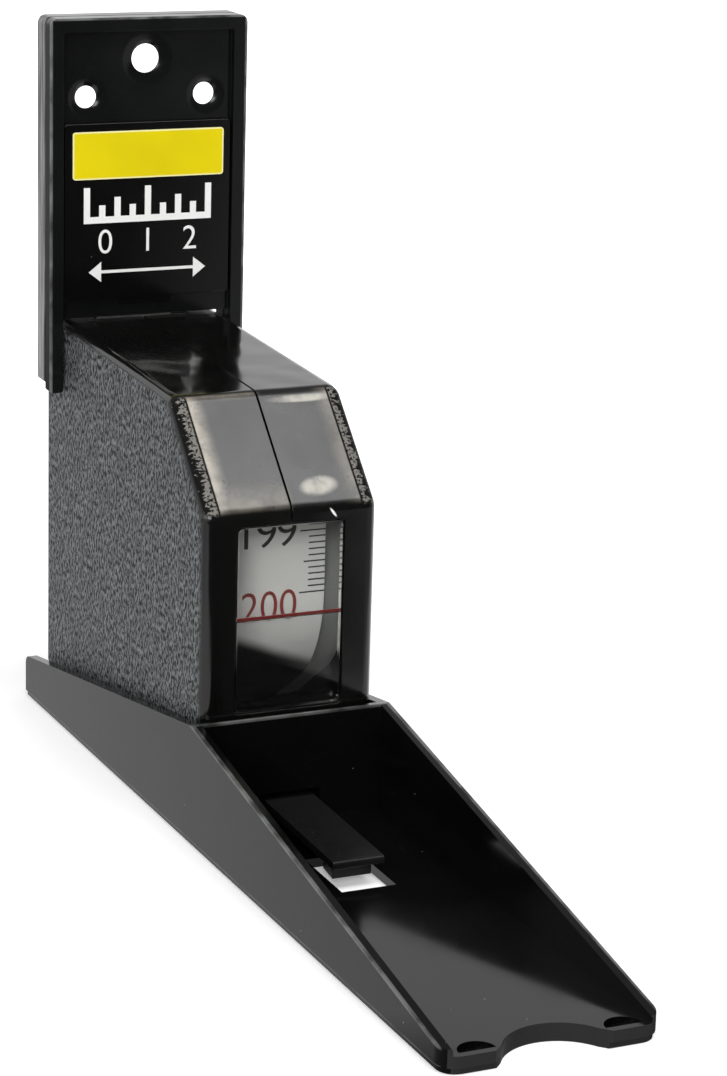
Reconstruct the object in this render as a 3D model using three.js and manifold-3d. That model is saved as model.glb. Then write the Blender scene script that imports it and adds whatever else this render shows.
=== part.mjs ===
// A wall stadiometer: a spring-wound measuring tape in a two-part case with a reading window,
// a tray-shaped headpiece arm under the case, and a wall bracket that holds the end of the tape.
// Millimetres, +Z up, the wall is the plane behind the part and the arm points towards -Y.
import * as THREE from 'three';
import { mergeVertices, toCreasedNormals } from 'three/addons/utils/BufferGeometryUtils.js';
import Module from 'manifold-3d';

const wasm = await Module();
wasm.setup();

// Clearances
const fitGap = 0.3;
const runningGap = 0.2;
const slimGap = 0.1;
const cutOverrun = 6;

// Fineness of round shapes
const cornerSteps = 3;
const edgeSteps = 3;
const rimSteps = 20;
const rodSides = 18;
const holeSides = 28;
const drumSteps = 18;
const creaseAngle = Math.PI / 6;

// Headpiece arm
const armLength = 165.3;
const armRearRoom = 1.9;
const armShoulderRoom = 0.55;
const armTipRoom = 0.3;
const armWall = 1.6;
const armRearHeight = 7.2;
const armShoulderHeight = 18.9;
const armTipHeight = 3.4;
const armFloorThickness = 1.5;
const armTipThickness = 2.7;
const armFloorRiseSetback = 53.3;
const armFloorFlatSetback = 7.3;
const armTipRadius = 3;
const armRearTopRadius = 1.6;
const armBaseHeight = 0.9;
const armBaseInset = 0.35;
const crossWallThickness = 1.5;

// Fingertip notch, corner recesses and latch window of the arm
const notchRadius = 8.5;
const notchDepth = 5.5;
const notchLip = 1.5;
const tipRecessRadius = 2.75;
const tipRecessOffset = 10.9;
const tipRecessSetback = 1.1;
const tipRecessDepth = 1.1;
const latchWindowWidth = 8.8;
const latchWindowSetback = 18;
const latchWindowLength = 13.8;
const latchSlotWidth = 10;
const latchSlotBottom = 3.2;
const latchSlotTop = 6.4;

// Guide ribs that hold the arm to the case
const ribBottom = 5;
const ribHeight = 1.2;
const ribRear = 8;
const ribFrontInset = 8;
const ribReach = 0.7;

// Case
const caseWidth = 29;
const caseTopRise = 2;
const caseWall = 1.8;
const caseEdgeRadius = 2;
const caseCornerRadius = 2.6;
const caseBreakRadius = 3;
const chamferRun = 15.6;
const chamferDrop = 15;
const seamGap = 0.3;

// Reading window
const windowWidth = 18;
const windowSill = 17.4;
const windowHead = 2.2;
const windowCornerRadius = 0.8;
const paneSetback = 0.2;
const paneFlange = 1;
const paneFlangeThickness = 0.8;
const indexAboveSill = 15.2;
const indexThickness = 0.4;
const indexDepth = 0.25;

// Tape and its path
const tapeWidth = 16;
const tapeThickness = 0.3;
const tapeWindowSetback = 6.5;
const tapeRearDepth = 7.75;
const tapeFloorRoom = 5.5;
const tapeHeadroom = 3.3;
const tapeTurnRoom = 5.75;
const frontTurnTightening = 7;
const guideWall = 1.6;
const guideFrontDrop = 2.7;
const guideRearDrop = 5;
const guideBarRadius = 2.4;
const tapeRunDrop = 2.2;
const tapeLeadLength = 5;
const tapeTabLength = 10;

// Reel
const axleRadius = 3;
const hubRadius = 14;
const hubWall = 1.4;
const hubWeb = 1.2;
const flangeRoom = 0.95;
const flangeLap = 4;
const flangeThickness = 1;
const flangeHoleRadius = 2.5;
const flangeHoleInset = 3;
const flangeHoleCount = 6;
const flangeRim = 5;
const rollThickness = 5;
const springPitch = 1.08;
const springThickness = 0.35;
const springHalfWidth = 6;
const springStepsPerTurn = 22;

// Sockets and bosses inside the case
const socketWall = 1.5;
const axleSocketDepth = 2.4;
const barSocketDepth = 1.4;
const screwBossRadius = 3.9;
const lowFrontScrewInset = 10;
const lowFrontScrewRise = 10.7;
const lowRearScrewInset = 6.5;
const lowRearScrewRise = 6.7;
const highFrontScrewSetback = 4.3;
const highFrontScrewDrop = 5.8;
const highRearScrewInset = 16;
const highRearScrewDrop = 5.4;
const latchBlockWidth = 15;
const latchBlockDepth = 5.5;
const latchBlockHeight = 6.9;

// Case screws
const caseScrewHeadRadius = 2.7;
const caseScrewHeadHeight = 1.8;
const caseScrewShankRadius = 1.2;
const caseScrewReach = 8.5;
const caseScrewSink = 0.4;
const screwSlotWidth = 0.6;
const screwSlotShare = 1.3;
const screwSlotDepth = 0.7;

// Latch tongue
const latchWidth = 8.4;
const latchThickness = 1.2;
const latchTop = 5.2;
const latchReach = 28;
const latchDrop = 0.5;
const latchKnuckleRadius = 1.6;
const latchPivotInset = 2.2;
const latchPinRadius = 0.75;
const latchPinOverhang = 2;
const barbWidth = 6.4;
const barbReach = 22;
const barbLength = 3.5;
const barbBottom = 1;

// Wall bracket
const bracketSideRoom = 0.45;
const bracketRise = 50;
const bracketLegReach = 12.3;
const bracketRearLegLift = 1.2;
const bracketRearDepth = 4.2;
const bracketSplitDepth = 7.7;
const bracketGroove = 0.5;
const bracketFrontDepth = 10.8;
const bracketCornerRadius = 1.3;
const bracketEdgeRadius = 0.5;
const bracketRim = 2.3;
const bracketRecess = 1.3;
const tapeChannelDepth = 0.4;
const tapeChannelMargin = 0.6;
const fingerSlotWidth = 9.6;
const fingerSlotHeight = 1.1;
const fingerSlotDepth = 0.7;

// Wall screw holes, the rear layer's opening behind them, and what stands off from the wall
const mainHoleDrop = 7.1;
const mainHoleRadius = 2.4;
const mainSinkRadius = 4.5;
const sideHoleDrop = 13.2;
const sideHoleInset = 6.85;
const sideHoleRadius = 1.85;
const sideSinkRadius = 3.5;
const sinkLand = 0.3;
const rearOpeningSideRim = 2.75;
const rearOpeningTopRim = 2.3;
const rearOpeningMargin = 3.1;
const centrePadWidth = 16;
const centrePadHeight = 20;
const centrePadDrop = 0.5;
const footWidth = 3.6;
const footHeight = 4.2;
const footSideInset = 1.95;
const footTopInset = 1.5;

// Screws that join the two bracket layers, and the pin through the tape's end
const bracketScrewHeadRadius = 1.9;
const bracketScrewHeadHeight = 1.1;
const bracketScrewShankRadius = 0.9;
const bracketScrewInset = 6.25;
const bracketScrewRise = 11.3;
const bracketTopScrewDrop = 3;
const tapePinRadius = 1.4;
const tapePinPocket = 0.7;

// Label
const labelRise = 3.3;
const labelHeight = 29.3;
const labelThickness = 0.7;
const labelGap = 0.14;
const bandSideInset = 1.35;
const bandHeight = 7.9;
const bandDrop = 1.3;
const bandThickness = 0.2;
const bandCornerRadius = 0.5;

// Lengths that follow from the ones above
const armRearWidth = caseWidth + 2 * (armWall + armRearRoom);
const armShoulderWidth = caseWidth + 2 * (armWall + armShoulderRoom);
const armTipWidth = caseWidth + 2 * (armWall + armTipRoom);
const caseBottom = armFloorThickness + fitGap;
const hubHalfLength = tapeWidth / 2 + fitGap;
const rollRadius = hubRadius + rollThickness;
const flangeRadius = rollRadius + flangeRim;
const flangeHoleCircle = flangeRadius - flangeHoleInset;
const flangeBore = hubRadius - flangeLap;
const guideSetback = tapeThickness / 2 + fitGap;
const tapeRearTurnRadius = flangeRadius + flangeRoom + guideWall + guideSetback;
const tapeFrontTurnRadius = tapeRearTurnRadius - frontTurnTightening;
const tapeFrontDepth = tapeRearDepth + 2 * tapeRearTurnRadius + tapeTurnRoom;
const caseDepth = tapeFrontDepth + tapeWindowSetback;
const frontFace = -caseDepth;
const reelAxisY = -tapeRearDepth - tapeRearTurnRadius;
const reelAxisHeight = caseBottom + caseWall + tapeFloorRoom + tapeRearTurnRadius;
const frontTurnY = -tapeFrontDepth + tapeFrontTurnRadius;
const tapeTurnLean = Math.asin(frontTurnTightening / (reelAxisY - frontTurnY));
const tapeTurnAngle = (3 * Math.PI) / 2 - tapeTurnLean;
const caseTop = reelAxisHeight + tapeRearTurnRadius + tapeHeadroom;
const chamferTopDepth = caseDepth - chamferRun;
const chamferBottomHeight = caseTop - chamferDrop;
const caseHalf = caseWidth / 2;
const cavityHalf = caseHalf - caseWall;
const caseRearTop = caseTop + caseTopRise;
const windowBottom = caseBottom + windowSill;
const windowTop = chamferBottomHeight - windowHead;
const indexHeight = windowBottom + indexAboveSill;
const ribFront = caseDepth - ribFrontInset;
const latchWindowRear = caseDepth + latchWindowSetback;
const latchWindowFront = latchWindowRear + latchWindowLength;
const latchFront = caseDepth + latchReach;
const barbRear = caseDepth + barbReach;
const barbFront = barbRear + barbLength;
const guideBarHeight = windowTop + guideBarRadius;
const guideFrontTop = guideBarHeight - guideBarRadius - guideFrontDrop;
const guideRearTop = caseRearTop - caseWall - guideRearDrop;
const tapeRunTop = caseRearTop - caseWall - tapeRunDrop;
const guideBarY = -tapeFrontDepth + tapeThickness / 2 + fitGap + guideBarRadius;
const latchPivotY = frontFace + latchPivotInset;
const latchPivotZ = latchTop - latchThickness / 2 + slimGap;
const bracketOpeningHalf = caseHalf + bracketSideRoom;
const bracketHalf = bracketOpeningHalf + bracketRim;
const bracketSeat = caseRearTop + fitGap;
const bracketTop = bracketSeat + bracketRise;
const bracketLegBottom = bracketSeat - bracketLegReach;
const bracketScrewOffset = bracketHalf - bracketScrewInset;
const sideHoleOffset = bracketHalf - sideHoleInset;
const labelHalf = bracketOpeningHalf - fitGap;
const bandHalf = labelHalf - bandSideInset;
const mainHoleHeight = bracketTop - mainHoleDrop;
const sideHoleHeight = bracketTop - sideHoleDrop;
const rearOpeningBottom = sideHoleHeight - sideHoleRadius - rearOpeningMargin;
const centrePadTop = rearOpeningBottom - centrePadDrop;
const centrePadBottom = centrePadTop - centrePadHeight;
const labelBottom = bracketSeat + labelRise;
const labelTop = labelBottom + labelHeight;
const bandTop = labelTop - bandDrop;
const bandBottom = bandTop - bandHeight;
const frameRearY = -(bracketSplitDepth + bracketGroove);
const panelY = -(bracketFrontDepth - bracketRecess);

// Materials
const colours = {
  blackPlastic: 0x2b2c2d,
  texturedPlastic: 0x3a3b3c,
  greyPlastic: 0x4a4b4b,
  clearPane: 0xdfe6e4,
  redInk: 0xb8322e,
  tapeWhite: 0xd9dcd6,
  steel: 0x9a9c9e,
  springSteel: 0x6a6f76,
  yellowInk: 0xe3d318,
  labelBlack: 0x131413,
};

function plastic(colour, roughness) {
  return new THREE.MeshStandardMaterial({ color: colour, roughness, metalness: 0 });
}

function metal(colour, roughness) {
  return new THREE.MeshStandardMaterial({ color: colour, roughness, metalness: 1 });
}

const caseMaterial = plastic(colours.texturedPlastic, 0.55);
const armMaterial = plastic(colours.blackPlastic, 0.35);
const bracketMaterial = plastic(colours.blackPlastic, 0.4);
const innerPlasticMaterial = plastic(colours.greyPlastic, 0.6);
const paneMaterial = plastic(colours.clearPane, 0.05);
const redMaterial = plastic(colours.redInk, 0.5);
const tapeMaterial = plastic(colours.tapeWhite, 0.45);
const steelMaterial = metal(colours.steel, 0.3);
const springMaterial = metal(colours.springSteel, 0.35);
const labelMaterial = plastic(colours.labelBlack, 0.25);
const bandMaterial = plastic(colours.yellowInk, 0.4);

// Turning three.js geometry into solids that can be joined and cut, and back
function solidFrom(geometry) {
  const bare = geometry.clone();
  bare.deleteAttribute('normal');
  bare.deleteAttribute('uv');
  const merged = mergeVertices(bare);
  const triVerts = new Uint32Array(merged.index.array);
  const vertProperties = new Float32Array(merged.attributes.position.array);
  return new wasm.Manifold(new wasm.Mesh({ numProp: 3, vertProperties, triVerts }));
}

function geometryFrom(solid) {
  const mesh = solid.getMesh();
  const geometry = new THREE.BufferGeometry();
  geometry.setAttribute('position', new THREE.BufferAttribute(new Float32Array(mesh.vertProperties), 3));
  geometry.setIndex(new THREE.BufferAttribute(new Uint32Array(mesh.triVerts), 1));
  return toCreasedNormals(geometry, creaseAngle);
}

function join(first, ...others) {
  return others.reduce((solid, other) => solid.add(other), first);
}

function cut(first, ...others) {
  return others.reduce((solid, other) => solid.subtract(other), first);
}

// Outlines: every corner is [u, v, radius], listed counterclockwise
function cornerAt(corners, index) {
  const here = corners[index];
  const before = corners.at(index - 1);
  const after = corners[(index + 1) % corners.length];
  const point = new THREE.Vector2(here[0], here[1]);
  const toBefore = new THREE.Vector2(before[0], before[1]).sub(point).normalize();
  const toAfter = new THREE.Vector2(after[0], after[1]).sub(point).normalize();
  const halfAngle = Math.acos(toBefore.dot(toAfter)) / 2;
  const bisector = toBefore.clone().add(toAfter).normalize();
  return { point, toBefore, toAfter, halfAngle, bisector, radius: here[2] ?? 0 };
}

function roundedOutline(corners) {
  const shape = new THREE.Shape();
  corners.forEach((_, index) => {
    const { point, toBefore, toAfter, halfAngle, bisector, radius } = cornerAt(corners, index);
    const setback = radius / Math.tan(halfAngle);
    const start = point.clone().addScaledVector(toBefore, setback);
    const end = point.clone().addScaledVector(toAfter, setback);
    if (index === 0) shape.moveTo(start.x, start.y);
    else shape.lineTo(start.x, start.y);
    if (radius > 0) {
      const centre = point.clone().addScaledVector(bisector, radius / Math.sin(halfAngle));
      const from = start.clone().sub(centre).angle();
      const to = end.clone().sub(centre).angle();
      const clockwise = toBefore.cross(toAfter) > 0;
      shape.absarc(centre.x, centre.y, radius, from, to, clockwise);
    }
  });
  shape.closePath();
  return shape;
}

// Moves every side of a convex outline inwards by the same distance
function insetCorners(corners, distance) {
  return corners.map((_, index) => {
    const { point, halfAngle, bisector, radius } = cornerAt(corners, index);
    point.addScaledVector(bisector, distance / Math.sin(halfAngle));
    return [point.x, point.y, Math.max(radius - distance, 0)];
  });
}

function rectangle(lowU, highU, lowV, highV, radius = 0) {
  return roundedOutline([
    [lowU, lowV, radius],
    [highU, lowV, radius],
    [highU, highV, radius],
    [lowU, highV, radius],
  ]);
}

function ringOutline(outerRadius, innerRadius) {
  const shape = new THREE.Shape();
  shape.absarc(0, 0, outerRadius, 0, 2 * Math.PI, false);
  const hole = new THREE.Path();
  hole.absarc(0, 0, innerRadius, 0, 2 * Math.PI, true);
  shape.holes.push(hole);
  return shape;
}

// Prisms: an outline pushed along one axis, with its end edges rounded where a radius is given
const axisX = new THREE.Vector3(1, 0, 0);
const axisY = new THREE.Vector3(0, 1, 0);
const axisZ = new THREE.Vector3(0, 0, 1);
const outlineInYZ = new THREE.Matrix4().makeBasis(axisY, axisZ, axisX);
const outlineInXZ = new THREE.Matrix4().makeBasis(axisX, axisZ, axisY.clone().negate());

function pushed(shape, low, high, edgeRadius, steps) {
  const geometry = new THREE.ExtrudeGeometry(shape, {
    depth: high - low - 2 * edgeRadius,
    bevelEnabled: edgeRadius > 0,
    bevelThickness: edgeRadius,
    bevelSize: edgeRadius,
    bevelOffset: -edgeRadius,
    bevelSegments: edgeSteps,
    curveSegments: steps,
  });
  geometry.translate(0, 0, low + edgeRadius);
  return geometry;
}

function prismX(shape, lowX, highX, edgeRadius = 0, steps = cornerSteps) {
  return pushed(shape, lowX, highX, edgeRadius, steps).applyMatrix4(outlineInYZ);
}

function prismY(shape, lowY, highY, edgeRadius = 0, steps = cornerSteps) {
  return pushed(shape, -highY, -lowY, edgeRadius, steps).applyMatrix4(outlineInXZ);
}

function prismZ(shape, lowZ, highZ, edgeRadius = 0, steps = cornerSteps) {
  return pushed(shape, lowZ, highZ, edgeRadius, steps);
}

function block(lowX, highX, lowY, highY, lowZ, highZ) {
  const geometry = new THREE.BoxGeometry(highX - lowX, highY - lowY, highZ - lowZ);
  return geometry.translate((lowX + highX) / 2, (lowY + highY) / 2, (lowZ + highZ) / 2);
}

// Round rods and cones along X and along Y
function rodX(radius, lowX, highX, y = 0, z = 0, sides = rodSides) {
  const geometry = new THREE.CylinderGeometry(radius, radius, highX - lowX, sides);
  geometry.rotateZ(-Math.PI / 2);
  return geometry.translate((lowX + highX) / 2, y, z);
}

function coneY(frontRadius, rearRadius, lowY, highY, x = 0, z = 0, sides = rodSides) {
  const geometry = new THREE.CylinderGeometry(rearRadius, frontRadius, highY - lowY, sides);
  return geometry.translate(x, (lowY + highY) / 2, z);
}

function rodY(radius, lowY, highY, x = 0, z = 0, sides = rodSides) {
  return coneY(radius, radius, lowY, highY, x, z, sides);
}

function piece(name, shape, material) {
  const geometry = shape.isBufferGeometry ? shape : geometryFrom(shape);
  const mesh = new THREE.Mesh(geometry, material);
  mesh.name = name;
  return mesh;
}

// Case: the side outline, drawn in Y and Z
const caseCorners = [
  [frontFace, caseBottom, caseCornerRadius],
  [0, caseBottom, caseCornerRadius],
  [0, caseRearTop, caseCornerRadius],
  [-chamferTopDepth, caseTop, caseBreakRadius],
  [frontFace, chamferBottomHeight, caseBreakRadius],
];

const caseScrewPlaces = {
  front_bottom: [frontFace + lowFrontScrewInset, caseBottom + lowFrontScrewRise],
  rear_bottom: [-lowRearScrewInset, caseBottom + lowRearScrewRise],
  rear_top: [-highRearScrewInset, caseTop - highRearScrewDrop],
  front_top: [-chamferTopDepth + highFrontScrewSetback, caseTop - highFrontScrewDrop],
};

// The hollow block at the foot of the front wall that the latch tongue hinges in
function latchBlock(side) {
  const innerEdge = (side * seamGap) / 2;
  const outerEdge = (side * latchBlockWidth) / 2;
  const low = Math.min(innerEdge, outerEdge);
  const high = Math.max(innerEdge, outerEdge);
  const rear = frontFace + latchBlockDepth;
  const halfWall = caseWall / 2;
  return block(low, high, frontFace + halfWall, rear, caseBottom + halfWall, caseBottom + latchBlockHeight);
}

function latchPocket() {
  const half = latchWidth / 2 + fitGap;
  const rear = latchPivotY + latchKnuckleRadius + fitGap;
  const low = latchPivotZ - latchKnuckleRadius - fitGap;
  const high = latchPivotZ + latchKnuckleRadius + fitGap;
  return block(-half, half, frontFace - cutOverrun, rear, low, high);
}

function latchPinHole() {
  const half = latchWidth / 2 + latchPinOverhang + fitGap;
  return rodX(latchPinRadius + slimGap, -half, half, latchPivotY, latchPivotZ);
}

// A round socket on a shell's inner face that holds the end of a rod
function socketSolid(side, depth, radius, y, z) {
  const mouth = side * (cavityHalf - depth);
  const root = side * (cavityHalf + caseWall / 2);
  const socketRadius = radius + runningGap + socketWall;
  return solidFrom(rodX(socketRadius, Math.min(mouth, root), Math.max(mouth, root), y, z));
}

function socketBore(side, depth, radius, y, z) {
  const mouth = side * (cavityHalf - depth - cutOverrun);
  const floor = side * cavityHalf;
  return solidFrom(rodX(radius + runningGap, Math.min(mouth, floor), Math.max(mouth, floor), y, z));
}

function screwBoss(side, [y, z]) {
  const innerEdge = (side * seamGap) / 2;
  const outerEdge = side * (cavityHalf + caseWall / 2);
  const low = Math.min(innerEdge, outerEdge);
  const high = Math.max(innerEdge, outerEdge);
  return solidFrom(rodX(screwBossRadius, low, high, y, z));
}

// On the right the screw passes through, with a sunk seat for its head; on the left it has a pilot hole
function screwBores(side, [y, z]) {
  if (side < 0) {
    const depth = -caseScrewReach - fitGap;
    return [solidFrom(rodX(caseScrewShankRadius + slimGap, depth, cutOverrun, y, z))];
  }
  const seat = caseHalf - caseScrewSink - caseScrewHeadHeight - fitGap;
  return [
    solidFrom(rodX(caseScrewShankRadius + fitGap, -cutOverrun, caseHalf, y, z)),
    solidFrom(rodX(caseScrewHeadRadius + fitGap, seat, caseHalf + cutOverrun, y, z)),
  ];
}

// The groove near the foot of each side that the arm's ribs slide in
function ribGroove(side) {
  const depth = ribReach + fitGap;
  const inner = side * (caseHalf - depth);
  const outer = side * (caseHalf + cutOverrun);
  const low = Math.min(inner, outer);
  const high = Math.max(inner, outer);
  return block(low, high, -ribFront - fitGap, cutOverrun, ribBottom - fitGap, ribBottom + ribHeight + fitGap);
}

function caseShell(side) {
  const outer = solidFrom(prismX(roundedOutline(caseCorners), -caseHalf, caseHalf, caseEdgeRadius));
  const hollowOutline = roundedOutline(insetCorners(caseCorners, caseWall));
  const hollow = solidFrom(prismX(hollowOutline, -cavityHalf, cavityHalf));
  const otherHalf = solidFrom(block(
    Math.min((side * seamGap) / 2, -side * caseWidth),
    Math.max((side * seamGap) / 2, -side * caseWidth),
    frontFace - cutOverrun,
    cutOverrun,
    caseBottom - cutOverrun,
    caseRearTop + cutOverrun,
  ));
  const places = Object.values(caseScrewPlaces);
  const shell = join(
    cut(outer, hollow),
    solidFrom(latchBlock(side)),
    socketSolid(side, axleSocketDepth, axleRadius, reelAxisY, reelAxisHeight),
    socketSolid(side, barSocketDepth, guideBarRadius, guideBarY, guideBarHeight),
    ...places.map((place) => screwBoss(side, place)),
  );
  const halfWindow = windowWidth / 2;
  const windowOutline = rectangle(-halfWindow, halfWindow, windowBottom, windowTop, windowCornerRadius);
  const exitHalf = tapeWidth / 2 + fitGap;
  const exitLow = -tapeRearDepth - tapeThickness - fitGap;
  const exitHigh = -tapeRearDepth + tapeThickness + fitGap;
  const exitBottom = caseTop - 2 * caseWall;
  return cut(
    shell,
    otherHalf,
    solidFrom(prismY(windowOutline, frontFace - cutOverrun, frontFace + 2 * caseWall)),
    solidFrom(block(-exitHalf, exitHalf, exitLow, exitHigh, exitBottom, caseRearTop + cutOverrun)),
    solidFrom(latchPocket()),
    solidFrom(latchPinHole()),
    socketBore(side, axleSocketDepth, axleRadius, reelAxisY, reelAxisHeight),
    socketBore(side, barSocketDepth, guideBarRadius, guideBarY, guideBarHeight),
    solidFrom(ribGroove(side)),
    ...places.flatMap((place) => screwBores(side, place)),
  );
}

// Window pane: a clear block in the opening with a flange behind the wall, and a groove for the index line
function windowPane() {
  const half = windowWidth / 2 - fitGap;
  const front = frontFace + paneSetback;
  const flangeFront = frontFace + caseWall + fitGap;
  const flangeRear = flangeFront + paneFlangeThickness;
  const low = windowBottom + fitGap;
  const high = windowTop - fitGap;
  const middle = (flangeFront + flangeRear) / 2;
  const body = solidFrom(prismY(rectangle(-half, half, low, high, windowCornerRadius), front, middle));
  const flange = solidFrom(block(
    -half - paneFlange,
    half + paneFlange,
    flangeFront,
    flangeRear,
    low - paneFlange,
    high + paneFlange,
  ));
  const grooveHalf = indexThickness / 2 + slimGap;
  const groove = solidFrom(block(
    -half - cutOverrun,
    half + cutOverrun,
    front - cutOverrun,
    front + indexDepth + 2 * slimGap,
    indexHeight - grooveHalf,
    indexHeight + grooveHalf,
  ));
  return cut(join(body, flange), groove);
}

function indexLine() {
  const half = windowWidth / 2 - fitGap;
  const front = frontFace + paneSetback + slimGap;
  const halfLine = indexThickness / 2;
  return block(-half, half, front, front + indexDepth, indexHeight - halfLine, indexHeight + halfLine);
}

// The tape goes down behind the window, round a small turn at the front, below the reel and up at the rear.
// These two lines run beside that path, further out by the given offset: one forwards, one back.
function followTurns(shape, offset) {
  const front = tapeFrontTurnRadius + offset;
  const rear = tapeRearTurnRadius + offset;
  shape.absarc(frontTurnY, reelAxisHeight, front, Math.PI, tapeTurnAngle, false);
  shape.absarc(reelAxisY, reelAxisHeight, rear, tapeTurnAngle, 2 * Math.PI, false);
}

function followTurnsBack(shape, offset) {
  const front = tapeFrontTurnRadius + offset;
  const rear = tapeRearTurnRadius + offset;
  shape.absarc(reelAxisY, reelAxisHeight, rear, 2 * Math.PI, tapeTurnAngle, true);
  shape.absarc(frontTurnY, reelAxisHeight, front, tapeTurnAngle, Math.PI, true);
}

// Tape guide: a cradle round the reel that carries the tape from the window to the rear
function tapeGuide() {
  const outer = -guideSetback;
  const inner = -guideSetback - guideWall;
  const shape = new THREE.Shape();
  shape.moveTo(-tapeFrontDepth - outer, guideFrontTop);
  followTurns(shape, outer);
  shape.lineTo(-tapeRearDepth + outer, guideRearTop);
  shape.lineTo(-tapeRearDepth + inner, guideRearTop);
  followTurnsBack(shape, inner);
  shape.lineTo(-tapeFrontDepth - inner, guideFrontTop);
  shape.closePath();
  const half = cavityHalf - fitGap;
  return prismX(shape, -half, half, 0, drumSteps);
}

// Tape: from the roll over the guide bar, down past the window, round the cradle and up to the exit.
// The straight stretch from the roll to the bar touches both circles on their upper side.
function tapeRun() {
  const rollTurn = rollRadius + fitGap + tapeThickness / 2;
  const barTurn = guideBarRadius + fitGap + tapeThickness / 2;
  const across = new THREE.Vector2(guideBarY - reelAxisY, guideBarHeight - reelAxisHeight);
  const lean = across.angle() - Math.acos((rollTurn - barTurn) / across.length());
  const half = tapeThickness / 2;
  const atRoll = (offset) => [
    reelAxisY + (rollTurn + offset) * Math.cos(lean),
    reelAxisHeight + (rollTurn + offset) * Math.sin(lean),
  ];
  const shape = new THREE.Shape();
  shape.moveTo(...atRoll(half));
  shape.absarc(guideBarY, guideBarHeight, barTurn + half, lean, Math.PI, false);
  followTurns(shape, half);
  shape.lineTo(-tapeRearDepth + half, tapeRunTop);
  shape.lineTo(-tapeRearDepth - half, tapeRunTop);
  followTurnsBack(shape, -half);
  shape.absarc(guideBarY, guideBarHeight, barTurn - half, Math.PI, lean, true);
  shape.lineTo(...atRoll(-half));
  shape.closePath();
  return prismX(shape, -tapeWidth / 2, tapeWidth / 2, 0, drumSteps);
}

function tapeStrip(low, high) {
  const half = tapeThickness / 2;
  return block(-tapeWidth / 2, tapeWidth / 2, -tapeRearDepth - half, -tapeRearDepth + half, low, high);
}

const tapeLeadBottom = tapeRunTop + fitGap;
const tapeLeadTop = tapeLeadBottom + tapeLeadLength;
const tapeTabBottom = tapeLeadTop + fitGap;
const tapeTabTop = tapeTabBottom + tapeTabLength;
const tapePinHeight = (tapeTabBottom + tapeTabTop) / 2;

function tapeEndTab() {
  const strip = solidFrom(tapeStrip(tapeTabBottom, tapeTabTop));
  const holeFront = -tapeRearDepth - cutOverrun;
  const holeRear = -tapeRearDepth + cutOverrun;
  const hole = rodY(tapePinRadius + slimGap, holeFront, holeRear, 0, tapePinHeight);
  return cut(strip, solidFrom(hole));
}

// Reel: every piece is modelled round its own axle, and the group puts them on the reel's axis
function reelHub() {
  const wall = ringOutline(hubRadius, hubRadius - hubWall);
  const tube = prismX(wall, -hubHalfLength, hubHalfLength, 0, rimSteps);
  const webOuter = hubRadius - hubWall / 2;
  const web = ringOutline(webOuter, axleRadius + runningGap);
  const webPrism = prismX(web, -hubHalfLength, -hubHalfLength + hubWeb, 0, rimSteps);
  return join(solidFrom(tube), solidFrom(webPrism));
}

function reelFlange() {
  const disc = solidFrom(prismX(ringOutline(flangeRadius, flangeBore), 0, flangeThickness, 0, rimSteps));
  const holes = Array.from({ length: flangeHoleCount }, (_, index) => {
    const angle = (index * 2 * Math.PI) / flangeHoleCount;
    const y = flangeHoleCircle * Math.cos(angle);
    const z = flangeHoleCircle * Math.sin(angle);
    return solidFrom(rodX(flangeHoleRadius, -flangeThickness, 2 * flangeThickness, y, z));
  });
  return cut(disc, ...holes);
}

function tapeRoll() {
  const shape = ringOutline(rollRadius, hubRadius + fitGap);
  return prismX(shape, -tapeWidth / 2, tapeWidth / 2, 0, rimSteps);
}

// Mainspring: a flat strip wound in an even spiral from the axle to the hub
function mainspring() {
  const innerTurn = axleRadius + fitGap + springThickness / 2;
  const outerTurn = hubRadius - hubWall - fitGap - springThickness / 2;
  const turns = Math.round((outerTurn - innerTurn) / springPitch);
  const steps = turns * springStepsPerTurn;
  const side = (offset) => Array.from({ length: steps + 1 }, (_, index) => {
    const radius = innerTurn + ((outerTurn - innerTurn) * index) / steps + offset;
    const angle = (index * 2 * Math.PI) / springStepsPerTurn;
    return new THREE.Vector2(radius * Math.cos(angle), radius * Math.sin(angle));
  });
  const outline = [...side(springThickness / 2), ...side(-springThickness / 2).reverse()];
  return prismX(new THREE.Shape(outline), -springHalfWidth, springHalfWidth);
}

// Screws: the head faces +X, and each copy is placed by its mesh
function screw(headRadius, headHeight, shankRadius, shankLength) {
  const head = solidFrom(rodX(headRadius, 0, headHeight));
  const shank = solidFrom(rodX(shankRadius, -shankLength, headHeight / 2));
  const slotHalf = screwSlotWidth / 2;
  const reach = (headRadius * screwSlotShare) / 2;
  const slotFloor = headHeight - screwSlotDepth;
  const slot = solidFrom(block(slotFloor, headHeight + cutOverrun, -reach, reach, -slotHalf, slotHalf));
  const crossSlot = solidFrom(block(slotFloor, headHeight + cutOverrun, -slotHalf, slotHalf, -reach, reach));
  return geometryFrom(cut(join(head, shank), slot, crossSlot));
}

// Arm: the plan outline is narrower towards the tip
function armPlan(inset, rearOverrun = 0) {
  const rearHalf = armRearWidth / 2 - inset;
  const shoulderHalf = armShoulderWidth / 2 - inset;
  const tipHalf = armTipWidth / 2 - inset;
  const shoulder = -(caseDepth + crossWallThickness);
  const corner = Math.max(armTipRadius - inset, 0);
  const beyondRear = rearOverrun > 0 ? [[rearHalf, rearOverrun], [-rearHalf, rearOverrun]] : [];
  return roundedOutline([
    [-tipHalf, -armLength + inset, corner],
    [tipHalf, -armLength + inset, corner],
    [shoulderHalf, shoulder],
    [rearHalf, 0],
    ...beyondRear,
    [-rearHalf, 0],
    [-shoulderHalf, shoulder],
  ]);
}

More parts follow.
